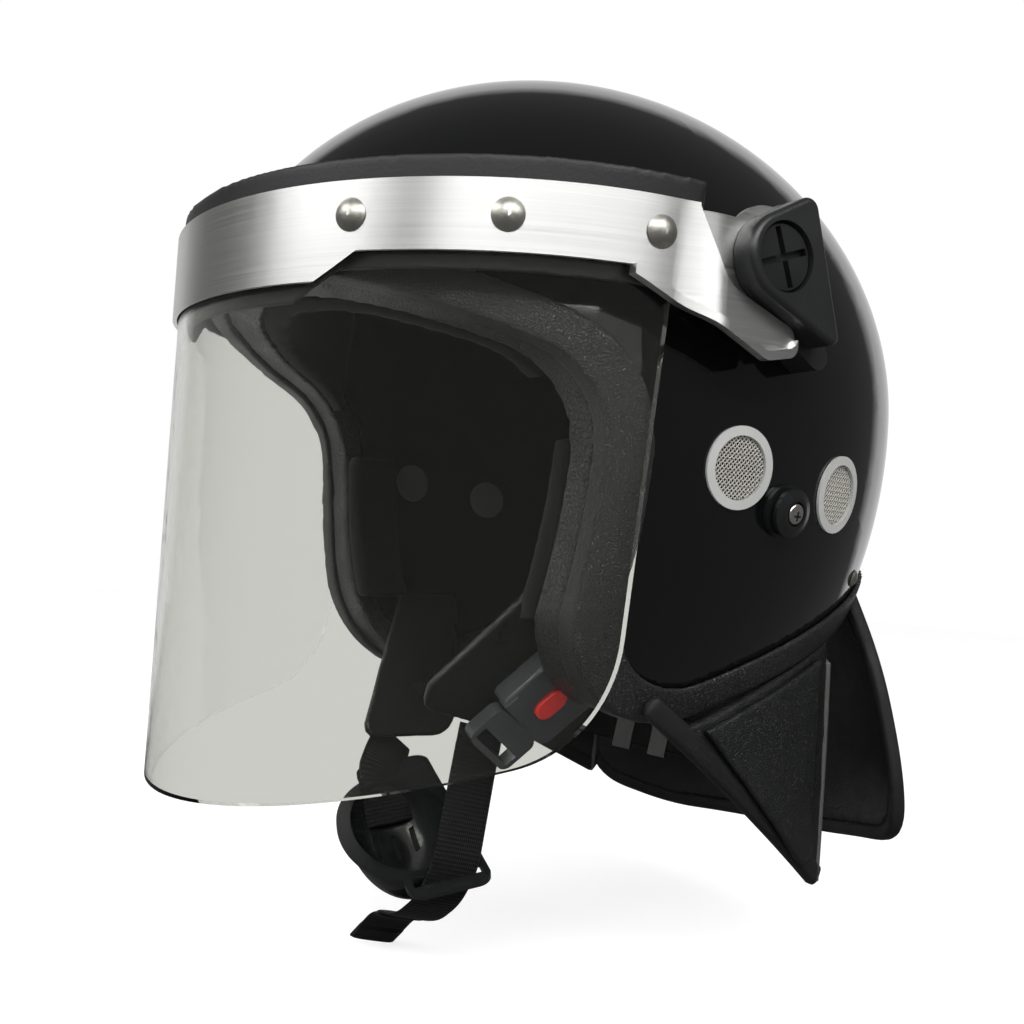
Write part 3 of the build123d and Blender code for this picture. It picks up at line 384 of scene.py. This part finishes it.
def finished_copy(node, name, finish, voxel, rounds, body="helmet"):
    """A copy of a solid's mesh, rebuilt in voxels and smoothed, that stands for the solid."""
    piece = nodes[node].copy()
    piece.data = nodes[node].data.copy()
    piece.name = name
    bpy.context.scene.collection.objects.link(piece)
    for key in list(piece.keys()):
        del piece[key]
    merged = bmesh.new()
    merged.from_mesh(piece.data)
    bmesh.ops.remove_doubles(merged, verts=merged.verts, dist=1e-6)
    merged.to_mesh(piece.data)
    merged.free()
    remesh = piece.modifiers.new("voxels", "REMESH")
    remesh.mode = "VOXEL"
    remesh.voxel_size = voxel
    remesh.use_smooth_shade = True
    smooth = piece.modifiers.new("soften", "SMOOTH")
    smooth.factor = 0.5
    smooth.iterations = rounds
    shown = piece.evaluated_get(bpy.context.evaluated_depsgraph_get())
    mesh = bpy.data.meshes.new_from_object(shown)
    piece.modifiers.clear()
    piece.data = mesh
    mesh.name = name
    mesh.materials.clear()
    mesh.materials.append(materials[finish])
    mesh.shade_smooth()
    piece.parent = None
    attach(piece, body)
    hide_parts(node)
    return piece


# Straps
def rounded_path(corners, radius, steps):
    """Straight runs between corners, each inner corner a curve that starts and ends radius away from it:
    (1-t)^2 before + 2t(1-t) corner + t^2 after."""
    corners = np.asarray(corners, float)
    runs = [corners[:1]]
    t = np.linspace(0.0, 1.0, steps)[:, None]
    for before, corner, after in zip(corners[:-2], corners[1:-1], corners[2:]):
        start = corner + (before - corner) * min(0.5, radius / np.linalg.norm(before - corner))
        end = corner + (after - corner) * min(0.5, radius / np.linalg.norm(after - corner))
        runs.append((1 - t) ** 2 * start + 2 * t * (1 - t) * corner + t ** 2 * end)
    runs.append(corners[-1:])
    return np.concatenate(runs)


def even_path(path, pitch):
    """The path cut into even steps of about this pitch, and the distance along it of each point."""
    steps = np.linalg.norm(np.diff(path, axis=0), axis=1)
    along = np.concatenate([[0.0], np.cumsum(steps)])
    count = max(2, int(round(along[-1] / pitch)) + 1)
    distance = np.linspace(0.0, along[-1], count)
    return np.stack([np.interp(distance, along, path[:, i]) for i in range(3)], 1), distance


def strap(name, node, path, across, hem=0.0):
    """A flat strap: the profile, a slot shape of the strap's width and thickness, is carried along the
    path, its width turning evenly from the first direction to the last; its faces rise and fall by the
    ribs, (1 + cos(2 pi distance / rib pitch)) / 2 of their height."""
    path, distance = even_path(np.asarray(path), rib_pitch / 4)
    ahead = np.gradient(path, axis=0)
    ahead /= np.linalg.norm(ahead, axis=1)[:, None]
    first, last = (np.asarray(a, float) for a in across)
    share = (distance / distance[-1])[:, None]
    across = first + (last - first) * share
    across -= np.sum(across * ahead, 1)[:, None] * ahead
    across /= np.linalg.norm(across, axis=1)[:, None]
    up = np.cross(across, ahead)
    turn = np.linspace(0.0, 2 * pi, 33)[:-1]
    flat = np.sign(np.cos(turn)) * np.abs(np.cos(turn)) ** 0.45
    rise = np.sign(np.sin(turn)) * np.abs(np.sin(turn)) ** 0.8
    wave = (1 + np.cos(2 * pi * distance / rib_pitch)) / 2
    half = webbing_thickness / 2 * (0.84 + 0.16 * wave)
    if hem:
        half = half * (1 + 0.9 * np.clip((distance - distance[-1] + hem) / 0.001, 0.0, 1.0))
    end = np.minimum(distance, distance[-1] - distance)
    half = half * np.minimum(1.0, 0.55 + end / 0.001)
    points = (path[:, None, :] + (flat * webbing_width / 2)[None, :, None] * across[:, None, :]
              + (half[:, None] * rise[None, :])[..., None] * up[:, None, :])
    rows, columns = points.shape[:2]
    faces = grid_faces(rows, columns, wrap_columns=True)
    ends = np.stack([path[0], path[-1]])
    uv = np.stack(np.broadcast_arrays((flat * webbing_width / 2)[None, :], distance[:, None]), -1)
    uv = np.concatenate([uv.reshape(-1, 2), [[0.0, 0.0], [0.0, distance[-1]]]])
    centre = rows * columns
    ring = np.arange(columns)
    after = (ring + 1) % columns
    first = np.stack([ring, np.full(columns, centre), np.full(columns, centre), after], 1)[:, [0, 1, 3]]
    last = np.stack([(rows - 1) * columns + after, np.full(columns, centre + 1),
                     (rows - 1) * columns + ring], 1)
    mesh_points = np.concatenate([points.reshape(-1, 3), ends])
    mesh = bpy.data.meshes.new(name)
    mesh.from_pydata(mesh_points.tolist(), [], faces.tolist() + first.tolist() + last.tolist())
    mesh.materials.append(materials["webbing"])
    layer = mesh.uv_layers.new(name="UVMap")
    corner = np.empty(len(mesh.loops), np.int32)
    mesh.loops.foreach_get("vertex_index", corner)
    layer.data.foreach_set("uv", uv[corner].astype(np.float32).ravel())
    mesh.shade_smooth()
    piece = bpy.data.objects.new(name, mesh)
    bpy.context.scene.collection.objects.link(piece)
    outward(piece)
    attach(piece, "helmet")
    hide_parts(node)
    return piece


def outward(piece):
    """Turns every face of a closed piece outwards."""
    work = bmesh.new()
    work.from_mesh(piece.data)
    bmesh.ops.recalc_face_normals(work, faces=work.faces)
    work.to_mesh(piece.data)
    work.free()


def strap_place(y, z, turn):
    """The frame of a strap: at y and z, turned about X by this many degrees."""
    return Matrix.Translation((0.0, y, z)) @ Matrix.Rotation(radians(turn), 4, "X")


def in_place(place, corners):
    """Corners of the strap's own X-Z plane, in decimetres, as points of the helmet."""
    return [place @ Vector((x * 0.1, 0.0, z * 0.1)) for x, z in corners]


near_place = strap_place(-0.060, -0.186, -13.0)
near_corners = [(0.336, 0.58), (0.346, 0.46), (0.40, 0.06), (0.34, -0.08), (0.22, -0.18), (0.085, -0.201)]
tail_place = strap_place(-0.0645, -0.2084, -13.0)
tail_corners = [(0.10, 0.021), (0.035, 0.012), (-0.09, -0.115)]
far_place = strap_place(-0.0485, -0.154, -30.0)
far_corners = [(-0.468, 0.10)]
cup_place = (Matrix.Translation(cup_centre) @ Matrix.Rotation(radians(cup_turn), 4, "Z")
             @ Matrix.Rotation(radians(cup_lean), 4, "X") @ Matrix.Rotation(radians(cup_tilt), 4, "Y"))
in_cup_corners = [(-0.0360, 0.0, 0.0042), (-0.0270, 0.0, -0.0060), (-0.0215, 0.0, -0.0125)]
in_cup = [cup_place @ Vector(corner) for corner in in_cup_corners]
strap_wide = Vector((0.0, 1.0, 0.0))
for strap_name, strap_node, place, corners, run_on, last_place, radius in (
        ("chin_strap_near", "webbing_near", near_place, near_corners, [], near_place, 0.006),
        ("chin_strap_tail", "webbing_tail", tail_place, tail_corners, [], tail_place, 0.004),
        ("chin_strap_far", "webbing_far", far_place, far_corners, in_cup, cup_place, 0.005)):
    path = rounded_path([tuple(p) for p in in_place(place, corners) + run_on], radius, 12)
    piece = strap(strap_name, strap_node, path,
                  (place.to_3x3() @ strap_wide, last_place.to_3x3() @ strap_wide),
                  hem=hem_length if strap_node == "webbing_tail" else 0.0)


# Size of the thin dark sheet of painted shade behind the cup's vents
shade_sheet_centre_x = -0.0140
shade_sheet_length = 0.0150
shade_sheet_half_width = 0.0115
shade_sheet_thickness = 0.0002


def vent_shade_sheet():
    """A thin dark sheet in the middle of the cup's wall, painted shade that makes the vents look dark:
    z = -depth sqrt(1 - (x / length)^2 - (y / width)^2), and to each side half the sheet's
    thickness times 1 - (2 (x - centre) / sheet length)^8."""
    x = shade_sheet_centre_x + np.linspace(-shade_sheet_length / 2, shade_sheet_length / 2, 16)[:, None]
    run = np.linspace(-shade_sheet_half_width, shade_sheet_half_width, 17)
    y = np.concatenate([run, run[::-1]])[None, :]
    layer = np.concatenate([np.ones(len(run)), -np.ones(len(run))])[None, :]
    thick = shade_sheet_thickness * (1 - (2 * (x - shade_sheet_centre_x) / shade_sheet_length) ** 8)
    length, width, depth = (half - cup_wall_middle for half in cup_half)
    z = -depth * np.sqrt(1 - (x / length) ** 2 - (y / width) ** 2) + layer * thick / 2
    points = np.stack(np.broadcast_arrays(x, y, z), -1)
    turned = points @ np.array(cup_place.to_3x3()).T + np.array(cup_place.translation)
    piece = mesh_piece("cup_vent_painted_shade", turned, grid_faces(*z.shape, wrap_columns=True), "webbing")
    outward(piece)


vent_shade_sheet()

# Soft parts from their solids
soft_copies = [
    ("liner", "foam_liner", "foam", 0.0022, 6, 0.6),
    ("edge_roll", "edge_roll_soft", "roll", 0.0014, 8, 0.8),
    ("brow_pad", "brow_pad_soft", "pad", 0.0022, 8, 0.6),
    ("cheek_pad_left", "cheek_pad_soft_left", "pad", 0.0022, 8, 0.6),
    ("cheek_pad_right", "cheek_pad_soft_right", "pad", 0.0022, 8, 0.6),
    ("nape_pad", "nape_pad_soft", "pad", 0.0022, 8, 0.6),
    ("crown_pad", "crown_pad_soft", "pad", 0.0025, 8, 0.6),
    ("neck_guard_side_left", "guard_side_soft_left", "guard", 0.0013, 3, 0.4),
    ("neck_guard_side_right", "guard_side_soft_right", "guard", 0.0013, 3, 0.4),
    ("neck_guard_pad_left", "guard_panel_soft_left", "guard", 0.0011, 4, 0.7),
    ("neck_guard_pad_right", "guard_panel_soft_right", "guard", 0.0011, 4, 0.7),
    ("neck_guard_rear", "guard_rear_soft", "guard", 0.0014, 3, 0.4),
    ("rim_trim", "edge_trim_soft", "trim", 0.0011, 6, 0.5),
    ("visor_gasket", "gasket_soft", "gasket", 0.0011, 5, None),
    ("leather_tab", "leather_tab_soft", "strap_leather", 0.0009, 3, None),
    ("leather_flap", "leather_flap_soft", "strap_leather", 0.0009, 3, None),
    ("nape_strap", "nape_strap_soft", "webbing", 0.0007, 1, None),
    ("velcro_dots", "touch_dots_soft", "touch", 0.0005, 2, None),
]
for node, name, finish, voxel, rounds, fill in soft_copies:
    body = "visor" if node == "visor_gasket" else "helmet"
    piece = finished_copy(node, name, finish, voxel, rounds, body)


# Edges of the neck guard
def side_wall(side, y, z):
    """The side panels' wall, an oval that lengthens downwards: x = a sqrt(1 - (y / b)^2), where b is the
    length at the top plus the flare times the share of the height; the points and the outward normals."""
    length = guard_length_top + guard_length_flare * (z - guard_top_z) / -guard_height
    x = guard_half_width * np.sqrt(1 - (y / length) ** 2)
    normal = np.stack([side * x / guard_half_width ** 2, y / length ** 2, np.zeros_like(y)], 1)
    return np.stack([side * x, y, z], 1), normal / np.linalg.norm(normal, axis=1)[:, None]


def apron_wall(x, z):
    """The rear apron's wall: ovals whose half width, length and shift are cubics in height;
    y = shift + length sqrt(1 - (x / half width)^2); the points and the outward normals."""
    size = shell_half[1]
    level = z / size
    levels = np.array([-0.392, -0.686, -0.980, -1.275])
    half_width, length, shift = (np.polyval(np.polyfit(levels, values, 3), level) * size for values in (
        [0.680, 0.980, 1.275, 1.307], [0.889, 0.895, 1.214, 1.291], [0.0, -0.026, -0.339, -0.412]))
    y = shift + length * np.sqrt(1 - (x / half_width) ** 2)
    normal = np.stack([x / half_width ** 2, (y - shift) / length ** 2, np.zeros_like(x)], 1)
    return np.stack([x, y, z], 1), normal / np.linalg.norm(normal, axis=1)[:, None]


def bound_edge(name, path, normal, width, thickness, finish, inset=0.0):
    """A bound edge: an oval profile, flattened to width along the wall and thickness across it, is carried
    along the path, inset from it into the panel, and closed at both ends."""
    ahead = np.gradient(path, axis=0)
    ahead /= np.linalg.norm(ahead, axis=1)[:, None]
    inward = np.cross(normal, ahead)
    inward /= np.linalg.norm(inward, axis=1)[:, None]
    turn = np.linspace(0.0, 2 * pi, 17)[:-1]
    flat = np.sign(np.cos(turn)) * np.abs(np.cos(turn)) ** 0.6
    rise = np.sign(np.sin(turn)) * np.abs(np.sin(turn)) ** 0.6
    centre = path + inward * inset
    taper = np.ones(len(path))
    taper[[0, -1]] = 0.3
    points = (centre[:, None, :] + (taper[:, None] * flat * width / 2)[..., None] * inward[:, None, :]
              + (taper[:, None] * rise * thickness / 2)[..., None] * normal[:, None, :])
    rows, columns = points.shape[:2]
    ring = np.arange(columns)
    faces = grid_faces(rows, columns, wrap_columns=True).tolist()
    faces += [ring.tolist(), ((rows - 1) * columns + ring).tolist()]
    mesh = bpy.data.meshes.new(name)
    mesh.from_pydata(points.reshape(-1, 3).tolist(), [], faces)
    mesh.materials.append(materials[finish])
    mesh.shade_smooth()
    piece = bpy.data.objects.new(name, mesh)
    bpy.context.scene.collection.objects.link(piece)
    outward(piece)
    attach(piece, "helmet")
    return piece


guard_panels = {
    "left": (1, (-0.0215, -0.1150), (0.0768, -0.1868), (0.0848, -0.098)),
    "right": (-1, (-0.0215, -0.1150), (0.0915, -0.1727), (0.0938, -0.098)),
}
for side_name, (side, front, tip, rear) in guard_panels.items():
    diagonal = even_path(np.array([(0.0, *front), (0.0, *tip)]), guard_path_pitch)[0]
    path, normal = side_wall(side, diagonal[:, 1], diagonal[:, 2])
    bound_edge(f"guard_binding_{side_name}", path, normal * side, 0.0086, 0.0058, "binding", 0.0034)
    upright = even_path(np.array([(0.0, *tip), (0.0, *rear)]), guard_path_pitch)[0]
    path, normal = side_wall(side, upright[:, 1], upright[:, 2])
    bound_edge(f"guard_piping_{side_name}", path, normal * side, 0.0028, 0.0060, "piping", 0.0010)
apron_corners = np.array([(0.45, 0, -0.47), (0.575, 0, -0.670), (0.66, 0, -0.960), (0.655, 0, -1.075),
                          (0.26, 0, -1.140), (-0.39, 0, -1.185), (-0.645, 0, -1.14), (-0.66, 0, -0.980),
                          (-0.555, 0, -0.686), (-0.44, 0, -0.50)]) * shell_half[1]
apron_path = even_path(rounded_path(apron_corners, apron_corner_radius, 9), apron_path_pitch)[0]
path, normal = apron_wall(apron_path[:, 0], apron_path[:, 2])
bound_edge("guard_binding_rear", path, normal, 0.0064, 0.0058, "binding", -0.0026)


# Ports
def port_frame(side, y, z):
    """The port's centre on the shell and its two axes along the wall and one out of it."""
    x = shell_half[0] * np.sqrt(1 - (y / shell_half[1]) ** 2 - (z / shell_drop) ** 2)
    out = np.array([x / shell_half[0] ** 2, y / shell_half[1] ** 2, z / shell_drop ** 2])
    out /= np.linalg.norm(out)
    up = np.array([0.0, 0.0, 1.0]) - out[2] * out
    up /= np.linalg.norm(up)
    along = np.cross(up, out)
    mirror = np.array([side, 1.0, 1.0])
    return np.array([x, y, z]) * mirror, along * mirror, up * mirror, out * mirror


def woven_disc(name, node, side, y, z):
    """A round of woven wire: each wire runs at 45 degrees and bobs by cos(pi distance / pitch + its row),
    and the crossing wires bob the other way; a wire's length is the chord of the disc at its row."""
    centre, along, up, out = port_frame(side, y, z)
    pitch, wire, radius, sunk = 0.00128, 0.00029, 0.0110, 0.0006
    rows = np.arange(-8, 9)
    reach = np.sqrt(radius ** 2 - (rows * pitch) ** 2)
    steps = np.linspace(-1.0, 1.0, 69)
    distance = reach[:, None] * steps[None, :]
    bob = 0.6 * wire * np.cos(pi * (distance / pitch + rows[:, None]))
    first, second = (along + up) / np.sqrt(2), (up - along) / np.sqrt(2)
    turn = np.linspace(0.0, 2 * pi, 6)[:-1]
    sheets = []
    for run, cross, sign in ((first, second, 1.0), (second, first, -1.0)):
        line = (centre - sunk * out + (rows * pitch)[:, None, None] * cross + distance[..., None] * run
                + sign * bob[..., None] * out)
        ring = wire * (np.cos(turn)[:, None] * cross + np.sin(turn)[:, None] * out)
        sheets.append(line[:, :, None, :] + ring[None, None, :, :])
    points = np.stack(sheets).reshape(-1, len(steps), len(turn), 3)
    one = grid_faces(len(steps), len(turn), wrap_columns=True)
    starts = np.arange(len(points)) * len(steps) * len(turn)
    faces = (starts[:, None, None] + one[None]).reshape(-1, 4)
    piece = mesh_piece(name, points, faces, "vent_mesh")
    outward(piece)
    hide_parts(node)
    return piece


for side_name, side in (("left", 1), ("right", -1)):
    for port, (y, z) in port_places.items():
        woven_disc(f"port_weave_{port}_{side_name}", f"vent_mesh_{port}_{side_name}", side, y, z)

# Size of the dark cross of painted shade on each screw head
recess_half = (0.0017, 0.0004)
recess_rise = 0.00006


def screw_recess_shade(side_name, side):
    """The cross recess of a stud's screw as painted shade: two dark bars in the stud's black finish
    crossing in the head's face, each the corners centre +- length across +- width up, at the face and a
    hair above and below it."""
    head = nodes[f"stud_screw_{side_name}"]
    points = np.array([head.matrix_world @ vertex.co for vertex in head.data.vertices])
    middle = (points.min(axis=0) + points.max(axis=0)) / 2
    _, along, up, out = port_frame(side, middle[1], middle[2])
    face = middle + out * np.max((points - middle) @ out)
    signs = np.array([(-1, -1), (1, -1), (1, 1), (-1, 1)])
    faces = np.array([(3, 2, 1, 0), (4, 5, 6, 7), (0, 1, 5, 4), (1, 2, 6, 5), (2, 3, 7, 6), (3, 0, 4, 7)])
    bars = []
    for length, width in ((recess_half[0], recess_half[1]), (recess_half[1], recess_half[0])):
        flat = face + signs[:, :1] * length * along + signs[:, 1:] * width * up
        bars.append(np.concatenate([flat - recess_rise * 4 * out, flat + recess_rise * out]))
    piece = mesh_piece(f"screw_recess_shade_{side_name}", np.concatenate(bars),
                       np.concatenate([faces, faces + 8]), "stud", smooth=False)
    outward(piece)


for side_name, side in (("left", 1), ("right", -1)):
    screw_recess_shade(side_name, side)

# Stage, light and camera
floor_size = 6.0
floor_mesh = bpy.data.meshes.new("floor")
floor_z = cad_low.z - 0.001
corner = floor_size / 2
floor_mesh.from_pydata([(-corner, -corner, floor_z), (corner, -corner, floor_z), (corner, corner, floor_z),
                        (-corner, corner, floor_z)], [], [(0, 1, 2, 3)])
floor = bpy.data.objects.new("floor", floor_mesh)
bpy.context.scene.collection.objects.link(floor)


def seen_ray(tree):
    """1 for a ray from the camera, through glass or off a gloss, and 0 for one that lights."""
    path = tree.nodes.new("ShaderNodeLightPath")
    first = add_node(tree, "ShaderNodeMath", operation="MAXIMUM")
    second = add_node(tree, "ShaderNodeMath", operation="MAXIMUM")
    tree.links.new(path.outputs["Is Camera Ray"], first.inputs[0])
    tree.links.new(path.outputs["Is Glossy Ray"], first.inputs[1])
    tree.links.new(first.outputs[0], second.inputs[0])
    tree.links.new(path.outputs["Is Transmission Ray"], second.inputs[1])
    return second.outputs[0], path


gloss_dim = 0.10
gloss_bright = 0.72


def backdrop_share(tree, direction, dim, bright):
    """The studio as gloss shows it: bright within 45 degrees of straight behind the object, else dim."""
    facing = add_node(tree, "ShaderNodeVectorMath", operation="DOT_PRODUCT")
    facing.inputs[1].default_value = camera_ahead
    tree.links.new(direction, facing.inputs[0])
    return between(tree, facing.outputs["Value"], 0.64, 0.74, dim, bright)


def floor_material():
    """A pale floor that shows white behind the object, is dimmer for gloss in front, and keeps a shadow."""
    material, tree, shader = material_of("floor_white", (0.40, 0.40, 0.40), 0.9)
    shader.inputs["Specular IOR Level"].default_value = 0.0
    glow = add_node(tree, "ShaderNodeEmission", Color=(1.0, 1.0, 1.0, 1.0))
    glow.inputs["Strength"].default_value = 0.75
    mirrored = add_node(tree, "ShaderNodeEmission", Color=(1.0, 1.0, 1.0, 1.0))
    geometry = tree.nodes.new("ShaderNodeNewGeometry")
    direction = add_node(tree, "ShaderNodeVectorMath", operation="NORMALIZE")
    tree.links.new(geometry.outputs["Position"], direction.inputs[0])
    far_side = backdrop_share(tree, direction.outputs["Vector"], gloss_dim, gloss_bright)
    flat_share = add_node(tree, "ShaderNodeMix", data_type="FLOAT")
    flat_share.inputs["B"].default_value = 1.0
    tree.links.new(far_side, flat_share.inputs["A"])
    tree.links.new(flat_share.outputs["Result"], mirrored.inputs["Strength"])
    none = add_node(tree, "ShaderNodeEmission", Color=(0.0, 0.0, 0.0, 1.0), Strength=0.0)
    seen, path = seen_ray(tree)
    pick = tree.nodes.new("ShaderNodeMixShader")
    both = tree.nodes.new("ShaderNodeAddShader")
    tree.links.new(seen, pick.inputs["Fac"])
    tree.links.new(none.outputs["Emission"], pick.inputs[1])
    tree.links.new(glow.outputs["Emission"], pick.inputs[2])
    tree.links.new(shader.outputs["BSDF"], both.inputs[0])
    tree.links.new(pick.outputs["Shader"], both.inputs[1])
    in_gloss = tree.nodes.new("ShaderNodeMixShader")
    indirect = add_node(tree, "ShaderNodeMath", operation="MAXIMUM")
    tree.links.new(path.outputs["Is Glossy Ray"], indirect.inputs[0])
    tree.links.new(path.outputs["Is Transmission Ray"], indirect.inputs[1])
    tree.links.new(path.outputs["Is Transmission Ray"], flat_share.inputs["Factor"])
    tree.links.new(indirect.outputs[0], in_gloss.inputs["Fac"])
    tree.links.new(both.outputs["Shader"], in_gloss.inputs[1])
    tree.links.new(mirrored.outputs["Emission"], in_gloss.inputs[2])
    tree.links.new(in_gloss.outputs["Shader"], tree.nodes["Material Output"].inputs["Surface"])
    return material


floor.data.materials.append(floor_material())


def studio_world():
    """White where it is seen; for gloss, white behind the object and dim on the viewer's side."""
    world = bpy.data.worlds.new("studio")
    bpy.context.scene.world = world
    world.use_nodes = True
    tree = world.node_tree
    tree.nodes.clear()
    output = tree.nodes.new("ShaderNodeOutputWorld")
    texture = tree.nodes.new("ShaderNodeTexCoord")
    behind = backdrop_share(tree, texture.outputs["Generated"], gloss_dim, gloss_bright)
    path = tree.nodes.new("ShaderNodeLightPath")
    shown = add_node(tree, "ShaderNodeMath", operation="MAXIMUM")
    tree.links.new(path.outputs["Is Camera Ray"], shown.inputs[0])
    tree.links.new(path.outputs["Is Transmission Ray"], shown.inputs[1])
    lit = add_node(tree, "ShaderNodeMix", data_type="FLOAT")
    lit.inputs["A"].default_value = 0.55
    tree.links.new(path.outputs["Is Glossy Ray"], lit.inputs["Factor"])
    tree.links.new(behind, lit.inputs["B"])
    level = add_node(tree, "ShaderNodeMix", data_type="FLOAT")
    level.inputs["B"].default_value = 1.0
    tree.links.new(shown.outputs[0], level.inputs["Factor"])
    tree.links.new(lit.outputs["Result"], level.inputs["A"])
    background = add_node(tree, "ShaderNodeBackground", Color=(1.0, 1.0, 1.0, 1.0))
    tree.links.new(level.outputs["Result"], background.inputs["Strength"])
    tree.links.new(background.outputs["Background"], output.inputs["Surface"])


studio_world()


def soft_box(name, place, aim, size, power):
    """A square soft lamp that looks at a point."""
    light = bpy.data.lights.new(name, "AREA")
    light.shape = "RECTANGLE"
    light.size, light.size_y = size
    light.energy = power
    lamp = bpy.data.objects.new(name, light)
    bpy.context.scene.collection.objects.link(lamp)
    lamp.location = place
    lamp.rotation_euler = (Vector(aim) - Vector(place)).to_track_quat("-Z", "Y").to_euler()
    return lamp


soft_box("key", (1.30, -0.46, 1.00), (0.0, -0.05, 0.0), (2.4, 0.6), 34.0)
soft_box("fill", (-0.20, -1.50, 0.95), (0.0, -0.1, 0.0), (1.2, 0.6), 13.0)

camera_data = bpy.data.cameras.new("photo_camera")
camera_data.lens = camera_lens
camera_data.sensor_width = sensor_width
camera_data.clip_start = 0.01
camera = bpy.data.objects.new("photo_camera", camera_data)
bpy.context.scene.collection.objects.link(camera)
axes = Matrix((camera_right, camera_up, -camera_ahead)).transposed().to_4x4()
camera.matrix_world = Matrix.Translation(camera_place) @ axes
bpy.context.scene.camera = camera
bpy.context.scene.view_settings.view_transform = "Standard"
